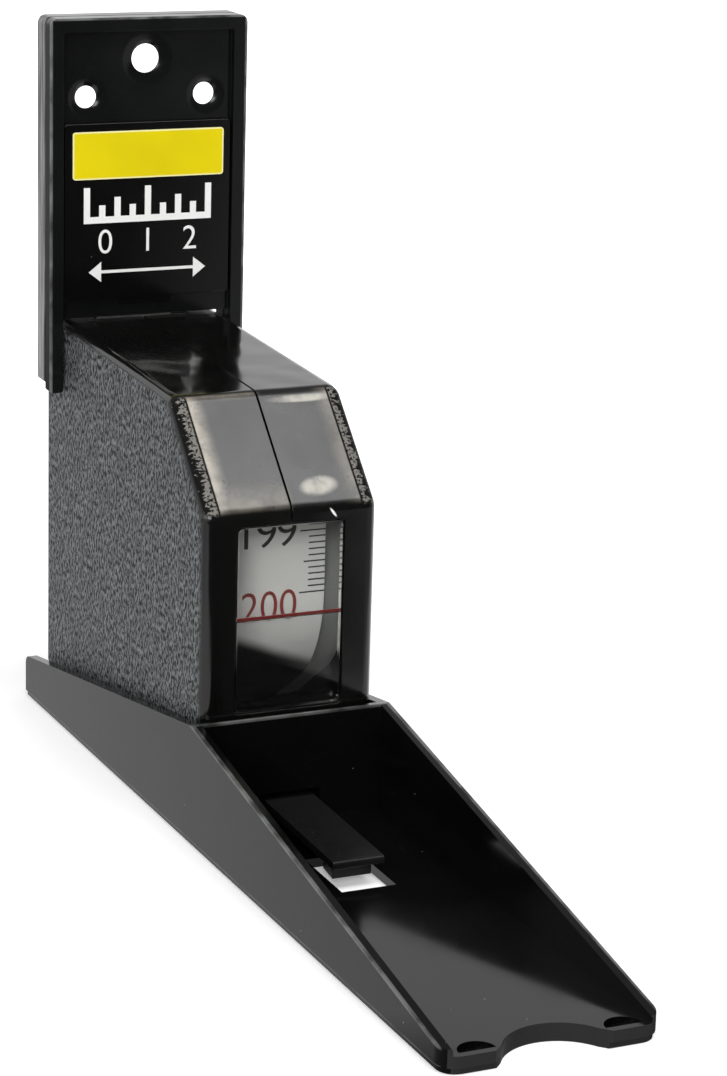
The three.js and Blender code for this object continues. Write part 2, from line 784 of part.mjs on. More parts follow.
// The side outline of the arm: low at the wall, highest at the case's front, thin at the tip
function armSideOutline() {
  const shoulder = -(caseDepth + crossWallThickness);
  return roundedOutline([
    [-armLength - cutOverrun, 0],
    [0, 0],
    [0, armRearHeight, armRearTopRadius],
    [shoulder, armShoulderHeight, armRearTopRadius],
    [-armLength, armTipHeight],
    [-armLength - cutOverrun, armTipHeight],
  ]);
}

// The tray's hollow in front of the cross wall: the floor rises to the tip
function trayHollow() {
  const rear = -(caseDepth + crossWallThickness) - fitGap;
  const outline = roundedOutline([
    [-armLength - cutOverrun, armTipThickness],
    [-armLength + armFloorFlatSetback, armTipThickness],
    [-armLength + armFloorRiseSetback, armFloorThickness],
    [rear, armFloorThickness],
    [rear, armShoulderHeight + cutOverrun],
    [-armLength - cutOverrun, armShoulderHeight + cutOverrun],
  ]);
  return solidFrom(prismX(outline, -armRearWidth, armRearWidth));
}

function headpieceArm() {
  const upper = solidFrom(prismZ(armPlan(0), armBaseHeight, armShoulderHeight + cutOverrun));
  const base = solidFrom(prismZ(armPlan(armBaseInset), 0, armBaseHeight + armBaseInset));
  const side = solidFrom(prismX(armSideOutline(), -armRearWidth, armRearWidth));
  const body = join(upper, base).intersect(side);
  const innerTop = armShoulderHeight + 2 * cutOverrun;
  const innerPlan = solidFrom(prismZ(armPlan(armWall, cutOverrun), -cutOverrun, innerTop));
  const openTip = solidFrom(block(
    -armTipWidth / 2 + armWall,
    armTipWidth / 2 - armWall,
    -armLength - cutOverrun,
    -armLength + 2 * armWall,
    -cutOverrun,
    armShoulderHeight,
  ));
  const bay = solidFrom(block(
    -armRearWidth,
    armRearWidth,
    frontFace - fitGap,
    2 * cutOverrun,
    armFloorThickness,
    armShoulderHeight + cutOverrun,
  ));
  const ribSpan = block(
    -armRearWidth / 2,
    armRearWidth / 2,
    -ribFront,
    -ribRear,
    ribBottom,
    ribBottom + ribHeight,
  );
  const ribPlan = solidFrom(prismZ(armPlan(armWall / 2), 0, armShoulderHeight));
  const caseRoom = block(
    -caseHalf + ribReach,
    caseHalf - ribReach,
    -caseDepth,
    cutOverrun,
    0,
    armShoulderHeight,
  );
  const ribs = cut(solidFrom(ribSpan).intersect(ribPlan), solidFrom(caseRoom));
  const latchWindow = block(
    -latchWindowWidth / 2,
    latchWindowWidth / 2,
    -latchWindowFront,
    -latchWindowRear,
    -cutOverrun,
    cutOverrun,
  );
  const latchSlot = block(
    -latchSlotWidth / 2,
    latchSlotWidth / 2,
    frontFace - 2 * crossWallThickness,
    frontFace + cutOverrun,
    latchSlotBottom,
    latchSlotTop,
  );
  return join(
    cut(
      body,
      trayHollow().intersect(join(innerPlan, openTip)),
      bay.intersect(innerPlan),
      tipNotch(),
      solidFrom(latchWindow),
      solidFrom(latchSlot),
      tipRecess(-1),
      tipRecess(1),
    ),
    ribs,
  );
}

// The fingertip notch in the arm's front edge: an arc between two slanted lips
function tipNotch() {
  const centre = -armLength + notchDepth - notchRadius;
  const lipY = -armLength + notchLip;
  const lipAngle = Math.asin((lipY - centre) / notchRadius);
  const lipX = notchRadius * Math.cos(lipAngle);
  const mouth = lipX + notchLip;
  const shape = new THREE.Shape();
  shape.moveTo(-mouth, -armLength - cutOverrun);
  shape.lineTo(mouth, -armLength - cutOverrun);
  shape.lineTo(mouth, -armLength);
  shape.absarc(0, centre, notchRadius, lipAngle, Math.PI - lipAngle, false);
  shape.lineTo(-mouth, -armLength);
  shape.closePath();
  return solidFrom(prismZ(shape, -cutOverrun, cutOverrun, 0, rimSteps));
}

// A half-round recess in each front corner of the arm, straight along its front side
function tipRecess(side) {
  const shape = new THREE.Shape();
  const front = -armLength + tipRecessSetback;
  shape.absarc(side * tipRecessOffset, front, tipRecessRadius, 0, Math.PI, false);
  shape.closePath();
  const low = armTipThickness - tipRecessDepth;
  return solidFrom(prismZ(shape, low, armTipThickness + cutOverrun, 0, 2 * cornerSteps));
}

// Latch tongue: a thin plate from its knuckle in the case, out through the cross wall and over the window
function latchTongue() {
  const half = latchWidth / 2;
  const low = latchTop - latchThickness;
  const outline = roundedOutline([
    [-latchFront, low - latchDrop],
    [-barbFront, low - latchDrop],
    [-barbFront, barbBottom],
    [-barbRear, barbBottom + latchDrop],
    [-barbRear, low - latchDrop],
    [latchPivotY, low],
    [latchPivotY, latchTop],
    [-latchFront, latchTop - latchDrop, latchThickness / 2],
  ]);
  const plate = solidFrom(prismX(outline, -half, half));
  const barbSides = [-1, 1].map((side) => {
    const inner = (side * barbWidth) / 2;
    const outer = side * latchWidth;
    const lowX = Math.min(inner, outer);
    const highX = Math.max(inner, outer);
    const top = low - latchDrop;
    return solidFrom(block(lowX, highX, -barbFront - slimGap, -barbRear + slimGap, -cutOverrun, top));
  });
  const knuckle = solidFrom(rodX(latchKnuckleRadius, -half, half, latchPivotY, latchPivotZ));
  const bore = solidFrom(rodX(latchPinRadius + slimGap, -latchWidth, latchWidth, latchPivotY, latchPivotZ));
  return cut(join(plate, knuckle), bore, ...barbSides);
}

// Bracket: two layers with the same outline and an opening at the foot that straddles the case
function bracketOutline(legBottom) {
  const outer = bracketHalf;
  const inner = bracketOpeningHalf;
  const round = bracketCornerRadius;
  const small = bracketEdgeRadius;
  return roundedOutline([
    [-outer, legBottom, small],
    [-inner, legBottom, small],
    [-inner, bracketSeat],
    [inner, bracketSeat],
    [inner, legBottom, small],
    [outer, legBottom, small],
    [outer, bracketTop, round],
    [-outer, bracketTop, round],
  ]);
}

const wallHoles = [
  { x: 0, z: mainHoleHeight, radius: mainHoleRadius, sink: mainSinkRadius },
  { x: -sideHoleOffset, z: sideHoleHeight, radius: sideHoleRadius, sink: sideSinkRadius },
  { x: sideHoleOffset, z: sideHoleHeight, radius: sideHoleRadius, sink: sideSinkRadius },
];

const bracketScrewPlaces = {
  left: [-bracketScrewOffset, bracketSeat + bracketScrewRise],
  right: [bracketScrewOffset, bracketSeat + bracketScrewRise],
  top: [0, centrePadTop - bracketTopScrewDrop],
};

function wallHoleBores() {
  return wallHoles.flatMap(({ x, z, radius, sink }) => {
    const through = rodY(radius, -bracketFrontDepth - cutOverrun, cutOverrun, x, z, holeSides);
    const funnel = coneY(sink, radius, panelY, frameRearY - sinkLand, x, z, holeSides);
    const mouth = rodY(sink, panelY - cutOverrun, panelY, x, z, holeSides);
    return [solidFrom(through), solidFrom(funnel), solidFrom(mouth)];
  });
}

// A foot in each top corner of the rear layer that lies on the wall
function foot(side) {
  const outer = side * (bracketHalf - footSideInset);
  const inner = side * (bracketHalf - footSideInset - footWidth);
  const top = bracketTop - footTopInset;
  return solidFrom(block(
    Math.min(outer, inner),
    Math.max(outer, inner),
    -bracketSplitDepth,
    0,
    top - footHeight,
    top,
  ));
}

function bracketRearPlate() {
  const outline = bracketOutline(bracketLegBottom + bracketRearLegLift);
  const plate = solidFrom(prismY(outline, -bracketSplitDepth, -bracketRearDepth));
  const openingHalf = bracketHalf - rearOpeningSideRim;
  const openingOutline = rectangle(
    -openingHalf,
    openingHalf,
    rearOpeningBottom,
    bracketTop - rearOpeningTopRim,
    bracketEdgeRadius,
  );
  const opening = solidFrom(prismY(openingOutline, -bracketSplitDepth - cutOverrun, cutOverrun));
  const padHalf = centrePadWidth / 2;
  const padOutline = rectangle(-padHalf, padHalf, centrePadBottom, centrePadTop, bracketCornerRadius);
  const centrePad = solidFrom(prismY(padOutline, -bracketRearDepth - bracketGroove, 0));
  const channelHalf = tapeWidth / 2 + tapeChannelMargin;
  const channelFloor = -bracketSplitDepth + tapeChannelDepth;
  const channel = solidFrom(block(
    -channelHalf,
    channelHalf,
    -bracketSplitDepth - cutOverrun,
    channelFloor,
    bracketLegBottom,
    tapeTabTop + tapeChannelMargin,
  ));
  const pinPocket = solidFrom(rodY(
    tapePinRadius + slimGap,
    -bracketSplitDepth - cutOverrun,
    -bracketRearDepth - tapePinPocket,
    0,
    tapePinHeight,
  ));
  const screwSeats = Object.values(bracketScrewPlaces).flatMap(([x, z]) => {
    const head = rodY(
      bracketScrewHeadRadius + fitGap,
      -bracketRearDepth - bracketScrewHeadHeight - fitGap,
      cutOverrun,
      x,
      z,
    );
    const shank = rodY(bracketScrewShankRadius + fitGap, -bracketFrontDepth, cutOverrun, x, z);
    return [solidFrom(head), solidFrom(shank)];
  });
  return cut(join(cut(plate, opening), centrePad, foot(-1), foot(1)), channel, pinPocket, ...screwSeats);
}

function bracketFrontFrame() {
  const outline = bracketOutline(bracketLegBottom);
  const frame = solidFrom(prismY(outline, -bracketFrontDepth, frameRearY));
  const recess = solidFrom(prismY(
    rectangle(
      -bracketOpeningHalf,
      bracketOpeningHalf,
      bracketSeat - cutOverrun,
      bracketTop - bracketRim,
      bracketEdgeRadius,
    ),
    -bracketFrontDepth - cutOverrun,
    panelY,
  ));
  const slotTop = labelBottom - fitGap;
  const fingerSlot = solidFrom(block(
    -fingerSlotWidth / 2,
    fingerSlotWidth / 2,
    panelY - cutOverrun,
    panelY + fingerSlotDepth,
    slotTop - fingerSlotHeight,
    slotTop,
  ));
  const pinPocket = solidFrom(rodY(
    tapePinRadius + slimGap,
    frameRearY - tapePinPocket,
    frameRearY + cutOverrun,
    0,
    tapePinHeight,
  ));
  const pilots = Object.values(bracketScrewPlaces).map(([x, z]) => (
    solidFrom(rodY(bracketScrewShankRadius + slimGap, -bracketFrontDepth, frameRearY + cutOverrun, x, z))
  ));
  return cut(frame, recess, fingerSlot, pinPocket, ...pilots, ...wallHoleBores());
}

function labelPlate() {
  const rear = panelY - labelGap;
  const outline = rectangle(-labelHalf, labelHalf, labelBottom, labelTop, bracketEdgeRadius);
  return prismY(outline, rear - labelThickness, rear);
}

function labelBand() {
  const rear = panelY - labelGap - labelThickness - slimGap;
  const outline = rectangle(-bandHalf, bandHalf, bandBottom, bandTop, bandCornerRadius);
  return prismY(outline, rear - bandThickness, rear);
}

// Assembly
function caseGroup() {
  const group = new THREE.Group();
  group.add(piece('case_left_shell', caseShell(-1), caseMaterial));
  group.add(piece('case_right_shell', caseShell(1), caseMaterial));
  group.add(piece('window_pane', windowPane(), paneMaterial));
  group.add(piece('index_line', indexLine(), redMaterial));
  group.add(piece('tape_guide', tapeGuide(), innerPlasticMaterial));
  group.add(piece('tape_run', tapeRun(), tapeMaterial));
  group.add(piece('tape_lead', tapeStrip(tapeLeadBottom, tapeLeadTop), tapeMaterial));
  const barHalf = cavityHalf - fitGap;
  const bar = piece('guide_bar', rodX(guideBarRadius, -barHalf, barHalf), steelMaterial);
  bar.position.set(0, guideBarY, guideBarHeight);
  group.add(bar);
  const screwGeometry = screw(
    caseScrewHeadRadius,
    caseScrewHeadHeight,
    caseScrewShankRadius,
    caseHalf - caseScrewSink - caseScrewHeadHeight + caseScrewReach,
  );
  Object.entries(caseScrewPlaces).forEach(([name, [y, z]]) => {
    const mesh = piece(`case_screw_${name}`, screwGeometry, steelMaterial);
    mesh.position.set(caseHalf - caseScrewSink - caseScrewHeadHeight, y, z);
    group.add(mesh);
  });
  return group;
}

function reelGroup() {
  const group = new THREE.Group();
  group.position.set(0, reelAxisY, reelAxisHeight);
  const axleHalf = cavityHalf - fitGap;
  group.add(piece('reel_axle', rodX(axleRadius, -axleHalf, axleHalf), steelMaterial));
  group.add(piece('mainspring', mainspring(), springMaterial));
  group.add(piece('reel_hub', reelHub(), innerPlasticMaterial));
  group.add(piece('tape_roll', tapeRoll(), tapeMaterial));
  const left = piece('reel_flange_left', reelFlange(), innerPlasticMaterial);
  left.position.x = -hubHalfLength - fitGap - flangeThickness;
  group.add(left);
  const right = piece('reel_flange_right', reelFlange(), innerPlasticMaterial);
  right.position.x = hubHalfLength + fitGap;
  group.add(right);
  return group;
}

function armGroup() {
  const group = new THREE.Group();
  group.add(piece('headpiece_arm', headpieceArm(), armMaterial));
  group.add(piece('latch_tongue', latchTongue(), armMaterial));
  const pinHalf = latchWidth / 2 + latchPinOverhang;
  const pin = piece('latch_pin', rodX(latchPinRadius, -pinHalf, pinHalf), steelMaterial);
  pin.position.set(0, latchPivotY, latchPivotZ);
  group.add(pin);
  return group;
}

function bracketGroup() {
  const group = new THREE.Group();
  group.add(piece('bracket_rear_plate', bracketRearPlate(), bracketMaterial));
  group.add(piece('bracket_front_frame', bracketFrontFrame(), bracketMaterial));
  group.add(piece('label_plate', labelPlate(), labelMaterial));
  group.add(piece('label_band', labelBand(), bandMaterial));
  group.add(piece('tape_end_tab', tapeEndTab(), tapeMaterial));
  const pinFront = frameRearY - tapePinPocket + slimGap;
  const pinRear = -bracketRearDepth - tapePinPocket - slimGap;
  group.add(piece('tape_end_pin', rodY(tapePinRadius, pinFront, pinRear, 0, tapePinHeight), steelMaterial));
  const headFloor = -bracketRearDepth - bracketScrewHeadHeight;
  const shankLength = headFloor - panelY - fitGap;
  const screwGeometry = screw(
    bracketScrewHeadRadius,
    bracketScrewHeadHeight,
    bracketScrewShankRadius,
    shankLength,
  );
  Object.entries(bracketScrewPlaces).forEach(([name, [x, z]]) => {
    const mesh = piece(`bracket_screw_${name}`, screwGeometry, steelMaterial);
    mesh.rotation.z = Math.PI / 2;
    mesh.position.set(x, headFloor, z);
    group.add(mesh);
  });
  return group;
}

// The part stands on the arm, with its origin under the middle of the arm
const stadiometer = new THREE.Group();
stadiometer.position.y = armLength / 2;
stadiometer.add(caseGroup(), reelGroup(), armGroup(), bracketGroup());

export default stadiometer;
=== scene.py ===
# %% [markdown]
# A wall stadiometer, the kind that a nurse's office has: a spring-wound tape in a small black case,
# a tray-shaped arm under it that comes down on the head, and a bracket that is screwed to the wall
# and holds the tape's end. The solids are loaded first. This script dresses them: it softens edges,
# gives every surface its plastic, metal or print, and sets the light and the camera.

import math
from functools import partial

import bmesh
import bpy
from mathutils import Matrix, Vector


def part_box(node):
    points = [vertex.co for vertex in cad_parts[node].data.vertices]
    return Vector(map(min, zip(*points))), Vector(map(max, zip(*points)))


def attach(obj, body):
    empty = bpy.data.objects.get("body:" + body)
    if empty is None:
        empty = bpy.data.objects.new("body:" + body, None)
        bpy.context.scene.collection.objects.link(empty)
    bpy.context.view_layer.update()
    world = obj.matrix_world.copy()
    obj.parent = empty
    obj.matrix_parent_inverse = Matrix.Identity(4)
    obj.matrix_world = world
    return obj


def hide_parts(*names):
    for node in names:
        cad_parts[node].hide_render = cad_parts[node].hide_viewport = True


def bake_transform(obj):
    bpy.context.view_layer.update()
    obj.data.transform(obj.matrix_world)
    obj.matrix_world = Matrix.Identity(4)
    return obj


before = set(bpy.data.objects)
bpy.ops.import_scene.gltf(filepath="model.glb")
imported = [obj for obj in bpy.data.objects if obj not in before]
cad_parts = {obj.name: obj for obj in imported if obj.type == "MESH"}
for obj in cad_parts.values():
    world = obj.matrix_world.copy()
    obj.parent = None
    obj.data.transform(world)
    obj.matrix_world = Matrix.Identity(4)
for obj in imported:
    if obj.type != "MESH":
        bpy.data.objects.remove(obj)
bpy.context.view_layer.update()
MM = 0.001
print("solids:", len(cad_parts))

# %% [markdown]
# Places are read from the solids wherever they can be, so that a piece made here still fits when a
# solid changes. The x = 0 plane is the seam between the two halves of the case, and -Y is the front.

# %% Places read from the solids
shell_low, shell_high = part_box("case_left_shell")
LABEL_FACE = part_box("label_plate")[0].y
band_low, band_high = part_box("label_band")
axle_low, axle_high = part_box("reel_axle")
WALL = shell_high.y
CASE_HALF_WIDTH = -shell_low.x
TAPE_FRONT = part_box("tape_run")[0].y
REEL_AXIS_Y = (axle_low.y + axle_high.y) / 2
REEL_AXIS_Z = (axle_low.z + axle_high.z) / 2
print("case half width, mm:", round(CASE_HALF_WIDTH / MM, 2))

# %% [markdown]
# Colours are written as the hex values that a picture editor shows. Blender's shaders count in
# linear light, so one function turns one into the other.

# %% Colours


def linear(hex_colour, alpha=1.0):
    values = [int(hex_colour[i : i + 2], 16) / 255 for i in (1, 3, 5)]
    return [v / 12.92 if v <= 0.04045 else ((v + 0.055) / 1.055) ** 2.4 for v in values] + [alpha]


print("mid grey in linear light:", [round(v, 3) for v in linear("#808080")])

# %% [markdown]
# Every material below is a small tree of nodes. They could be wired by hand in the shader editor, but
# a recipe in code reads from top to bottom and can be changed in one place. One function adds a node
# with its settings and its links. The values fill the node's live inputs in their order, or by name
# where the order says little. A value is a number, a colour, a socket, or another node, whose first
# live output is then linked. Each material binds the function to its own tree and calls it add. SOFT
# lets a mask start and end gently, because real borders of wear and dirt aren't sharp.

# %% The helper that adds a node
SOFT = {"interpolation_type": "SMOOTHSTEP"}


def set_input(socket, value):
    if isinstance(value, bpy.types.Node):
        value = next(output for output in value.outputs if output.enabled)
    if isinstance(value, bpy.types.NodeSocket):
        socket.id_data.links.new(value, socket)
    else:
        socket.default_value = value


def add_node(tree, kind, *values, inputs=None, **settings):
    node = tree.nodes.new("ShaderNode" + kind)
    for name, value in settings.items():
        setattr(node, name, value)
    live = [socket for socket in node.inputs if socket.enabled]
    for socket, value in zip(live, values):
        set_input(socket, value)
    for name, value in (inputs or {}).items():
        set_input(node.inputs[name], value)
    return node


def empty_tree(owner):
    owner.use_nodes = True
    owner.node_tree.nodes.clear()
    return partial(add_node, owner.node_tree)


def new_material(name):
    material = bpy.data.materials.new(name)
    add = empty_tree(material)
    shader = add("BsdfPrincipled")
    place = add("TexCoord").outputs["Object"]
    return material, add, shader, place


def finish_material(add, shader, colour, roughness, normal):
    set_input(shader.inputs["Base Color"], colour)
    set_input(shader.inputs["Roughness"], roughness)
    set_input(shader.inputs["Normal"], normal)
    add("OutputMaterial", shader)


print("helper ready:", add_node.__name__)

# %% [markdown]
# The case is moulded in black ABS. Its two sides came from a spark-eroded mould face that leaves a
# fine leather-like grain: dark, dull pits about 0.5 mm wide and 0.9 mm high between grey crests. The
# top, the slope and the front are polished. Each face could have a material of its own, but then the
# grain would stop at a hard line. One material does all of it, and masks on the place of a point
# decide where the grain fades out.

# %% Grain of the case's sides
GRAIN_WIDTH = 0.5 * MM
GRAIN_HEIGHT = 0.9 * MM
GRAIN_DEPTH = 0.35 * MM
GRAIN_END = CASE_HALF_WIDTH - 0.5 * MM
GRAIN_FADE = 0.4 * MM
MOTTLE_PATCH = 2.5 * MM
SMOOTH_BORDER = 0.7 * MM
SMOOTH_BORDER_FADE = 1.7 * MM
SLOPE_FOOT_Z = 51.4 * MM
SLOPE_FOOT_Y = shell_low.y
SLOPE_HEAD_Z = 66.4 * MM
SLOPE_RUN = 15.6 * MM


def from_edges(add, axes):
    rise = SLOPE_HEAD_Z - SLOPE_FOOT_Z
    length = math.hypot(SLOPE_RUN, rise)
    back = add("Math", axes.outputs["Y"], SLOPE_FOOT_Y, operation="SUBTRACT")
    below = add("Math", SLOPE_FOOT_Z, axes.outputs["Z"], operation="SUBTRACT")
    below_part = add("Math", below, SLOPE_RUN / length, operation="MULTIPLY")
    from_slope = add("Math", back, rise / length, below_part, operation="MULTIPLY_ADD")
    from_top = add("Math", shell_high.z, axes.outputs["Z"], operation="SUBTRACT")
    nearest = add("Math", from_slope, from_top, operation="MINIMUM")
    return add("Math", nearest, back, operation="MINIMUM")


def leather_grain(add, place):
    scale = (1 / GRAIN_WIDTH, 1 / GRAIN_WIDTH, 1 / GRAIN_HEIGHT)
    stretched = add("Mapping", inputs={"Vector": place, "Scale": scale})
    return add("TexNoise", stretched, 1.0, 2.0, 0.55)


def grain_area(add, axes, across):
    side = (GRAIN_END, GRAIN_END + GRAIN_FADE)
    border = (SMOOTH_BORDER, SMOOTH_BORDER + SMOOTH_BORDER_FADE)
    on_side = add("MapRange", across, *side, **SOFT)
    inside = add("MapRange", from_edges(add, axes), *border, **SOFT)
    return add("Math", on_side, inside, operation="MULTIPLY")


def side_colour(add, place, crest):
    patches = add("TexNoise", place, 1 / MOTTLE_PATCH, 1.0)
    mottle = add("MapRange", patches, 0.35, 0.65)
    crests = add("Mix", mottle, linear("#4e5154"), linear("#66696c"), data_type="RGBA")
    return add("Mix", crest, linear("#020303"), crests, data_type="RGBA")


slope_degrees = math.degrees(math.atan2(SLOPE_HEAD_Z - SLOPE_FOOT_Z, SLOPE_RUN))
print("the slope rises by degrees:", round(slope_degrees, 1))

# %% [markdown]
# A pale painted sheen lies along the slope's borders, mostly on the left. It stands in for the light
# that the rounded borders mirror. On it lie two painted highlights, a crescent and an oval, and there
# are a few dark specks. All of it is a change of colour only, made from soft masks. One function draws
# each highlight and the chip below: an oval that can lean.

# %% Painted sheen and highlights on the slope
MOULD_LINE = CASE_HALF_WIDTH - 2.6 * MM
MOULD_LINE_HALF = 0.17 * MM
HALF_FADE = 1.0 * MM
HAZE_PATCH = 9.0 * MM
SHEEN_WIDTH = 3.2 * MM
SHEEN_TOP = shell_high.z - 1.4 * MM
SHEEN_BOTTOM = SLOPE_FOOT_Z + 1.0 * MM
SPECK_PITCH = 0.9 * MM
# each mark: middle x, middle z, half width, half height, lean
CRESCENT_HIGHLIGHT = (7.6 * MM, 65.1 * MM, 7.0 * MM, 0.6 * MM, 0.0)
OVAL_HIGHLIGHT = (5.5 * MM, 54.0 * MM, 3.6 * MM, 1.4 * MM, -0.4)


def spot(add, axes, middle_x, middle_z, half_x, half_z, lean):
    rise = add("Math", axes.outputs["Z"], middle_z, operation="SUBTRACT")
    aside = add("Math", axes.outputs["X"], middle_x, operation="SUBTRACT")
    leaning = add("Math", rise, lean, aside, operation="MULTIPLY_ADD")
    across = add("Math", leaning, half_x, operation="DIVIDE")
    along = add("Math", rise, half_z, operation="DIVIDE")
    across_squared = add("Math", across, 2.0, operation="POWER")
    along_squared = add("Math", along, 2.0, operation="POWER")
    reach = add("Math", across_squared, along_squared, operation="ADD")
    return add("MapRange", reach, 1.0, 0.2, **SOFT)


def sheen_round_slope(add, axes, across):
    height = axes.outputs["Z"]
    beside_line = (MOULD_LINE - SHEEN_WIDTH, MOULD_LINE)
    below_top = (SHEEN_TOP - SHEEN_WIDTH / 2, SHEEN_TOP)
    above_bottom = (SHEEN_BOTTOM + SHEEN_WIDTH, SHEEN_BOTTOM)
    left = add("MapRange", axes.outputs["X"], HALF_FADE, -HALF_FADE, **SOFT)
    left_share = add("MapRange", left, 0.0, 1.0, 0.35, 1.0)
    border = add("MapRange", across, *beside_line, **SOFT)
    side = add("Math", border, left_share, operation="MULTIPLY")
    top = add("MapRange", height, *below_top, **SOFT)
    bottom = add("MapRange", height, *above_bottom, **SOFT)
    faint_bottom = add("Math", bottom, 0.35, operation="MULTIPLY")
    ends = add("Math", top, faint_bottom, operation="MAXIMUM")
    left_ends = add("Math", ends, left, operation="MULTIPLY")
    return add("Math", side, left_ends, operation="MAXIMUM")


def slope_sheen(add, place, axes, across):
    inner = (MOULD_LINE, MOULD_LINE - MOULD_LINE_HALF)
    foot = (SLOPE_FOOT_Z - HALF_FADE / 2, SLOPE_FOOT_Z + HALF_FADE)
    cloud = add("TexNoise", place, 3 / HAZE_PATCH, 4.0, 0.6)
    cover = add("MapRange", cloud, 0.3, 0.6, 0.35, 1.0)
    covered = add("Math", sheen_round_slope(add, axes, across), cover, operation="MULTIPLY")
    inside_line = add("MapRange", across, *inner, **SOFT)
    above_foot = add("MapRange", axes.outputs["Z"], *foot, **SOFT)
    limits = add("Math", inside_line, above_foot, operation="MULTIPLY")
    return add("Math", covered, limits, operation="MULTIPLY")


def slope_with_painted_light(add, place, axes, across, haze, slope):
    polished = add("Mix", haze, linear("#060606"), linear("#0f0f0e"), data_type="RGBA")
    # Painted sheen: the pale colour along the borders stands in for light mirrored there.
    sheen = add("Math", slope_sheen(add, place, axes, across), slope, operation="MULTIPLY")
    sheened = add("Mix", sheen, polished, linear("#a39b8d"), data_type="RGBA")
    # Painted highlights: the crescent and the oval are reflections of the lamps, drawn in pale colour.
    crescent = spot(add, axes, *CRESCENT_HIGHLIGHT)
    oval = spot(add, axes, *OVAL_HIGHLIGHT)
    painted_highlights = add("Math", crescent, oval, operation="MAXIMUM")
    patches = add("TexNoise", place, 1 / SHEEN_WIDTH, 2.0)
    cover = add("MapRange", patches, 0.35, 0.6, 0.4, 1.0)
    thin = add("Math", slope, cover, operation="MULTIPLY")
    marks = add("Math", painted_highlights, thin, operation="MULTIPLY")
    marked = add("Mix", marks, sheened, linear("#a5a297"), data_type="RGBA")
    dots = add("TexNoise", place, 1 / SPECK_PITCH, 1.0)
    specks = add("MapRange", dots, 0.74, 0.78, **SOFT)
    on_slope = add("Math", specks, slope, operation="MULTIPLY")
    return add("Mix", on_slope, marked, linear("#050505"), data_type="RGBA")


print("width of the film, mm:", round(SHEEN_WIDTH / MM, 1))

# %% [markdown]
# Along the slope's two borders runs a thin mould line, and outside it a grained ragged strip, pale in
# small teeth and black between them. The black is the grain itself; the pale teeth are painted
# highlights, the glints of light on that grain. Each tooth could be modelled, but they are too small
# for their shape to show. A noise that is stretched across the border gives them uneven lengths
# instead. Just above the window a small chip shows white.

# %% Ragged strips and the chip
TOOTH_PITCH = 0.42 * MM
TOOTH_LENGTH = 2.4 * MM
TOOTH_REACH = 4.4 * MM
TOOTH_START = MOULD_LINE - 1.0 * MM
TOOTH_FADE = 0.15 * MM
CHIP_MARK = (6.9 * MM, 50.3 * MM, 0.3 * MM, 0.85 * MM, 0.7)


def strip_area(add, across, slope):
    line = (MOULD_LINE - 2 * MOULD_LINE_HALF, MOULD_LINE - MOULD_LINE_HALF)
    beyond = add("MapRange", across, *line, **SOFT)
    return add("Math", beyond, slope, operation="MULTIPLY")


def ragged_strip(add, place, across):
    outer = (MOULD_LINE, MOULD_LINE + MOULD_LINE_HALF)
    scale = (1 / TOOTH_LENGTH, 1 / TOOTH_PITCH, 1 / TOOTH_PITCH)
    stretched = add("Mapping", inputs={"Vector": place, "Scale": scale})
    uneven = add("TexNoise", stretched, 1.0, 1.0)
    reach = add("Math", uneven, TOOTH_REACH, TOOTH_START, operation="MULTIPLY_ADD")
    beyond = add("Math", reach, across, operation="SUBTRACT")
    tooth = add("MapRange", beyond, 0.0, TOOTH_FADE, **SOFT)
    outside_line = add("MapRange", across, *outer, **SOFT)
    ragged = add("Math", tooth, outside_line, operation="MULTIPLY")
    dots = add("TexNoise", place, 1 / TOOTH_PITCH, 1.0)
    specks = add("MapRange", dots, 0.36, 0.5, **SOFT)
    return add("Math", ragged, specks, operation="MULTIPLY")


def strip_and_chip(add, axes, forward, slope_colour, strip_mask, teeth):
    # The pale teeth are painted highlights on the strip's grain.
    strip = add("Mix", teeth, linear("#080808"), linear("#6f6c66"), data_type="RGBA")
    stripped = add("Mix", strip_mask, slope_colour, strip, data_type="RGBA")
    ahead = add("MapRange", forward, 0.5, 0.7, **SOFT)
    chip = add("Math", spot(add, axes, *CHIP_MARK), ahead, operation="MULTIPLY")
    return add("Mix", chip, stripped, linear("#f4f4f2"), data_type="RGBA")


print("teeth for each width of film:", round(SHEEN_WIDTH / TOOTH_PITCH))

# %% [markdown]
# Colour alone would leave the case flat. The polished faces mirror the room through a slight swell, the
# slope and the strips are rougher, and the grain stands out by a bump. The floors of its pits and the
# dark parts of the strips mirror less, because light is caught in them.

# %% Gloss and relief of the case
POLISH_WAVE = 6.0 * MM
WAVE_HEIGHT = 0.4 * MM


def case_gloss(add, grain_mask, crest, strip_mask, teeth):
    between_teeth = add("Math", 1.0, teeth, operation="SUBTRACT")
    dark_strip = add("Math", strip_mask, between_teeth, operation="MULTIPLY")
    off_crest = add("Math", 1.0, crest, operation="SUBTRACT")
    pits = add("Math", grain_mask, off_crest, operation="MULTIPLY")
    dull = add("Math", dark_strip, pits, operation="MAXIMUM")
    return add("MapRange", dull, 0.0, 1.0, 0.5, 0.1)


def case_roughness(add, haze, slope, strip_mask, grain_mask):
    polish = add("MapRange", haze, 0.0, 1.0, 0.05, 0.2)
    smooth = add("Math", slope, 0.16, polish, operation="MULTIPLY_ADD")
    matt_strip = add("Math", strip_mask, 0.6, operation="MULTIPLY")
    matt_grain = add("Math", grain_mask, 0.5, operation="MULTIPLY")
    matt = add("Math", smooth, matt_strip, operation="MAXIMUM")
    return add("Math", matt, matt_grain, operation="MAXIMUM")


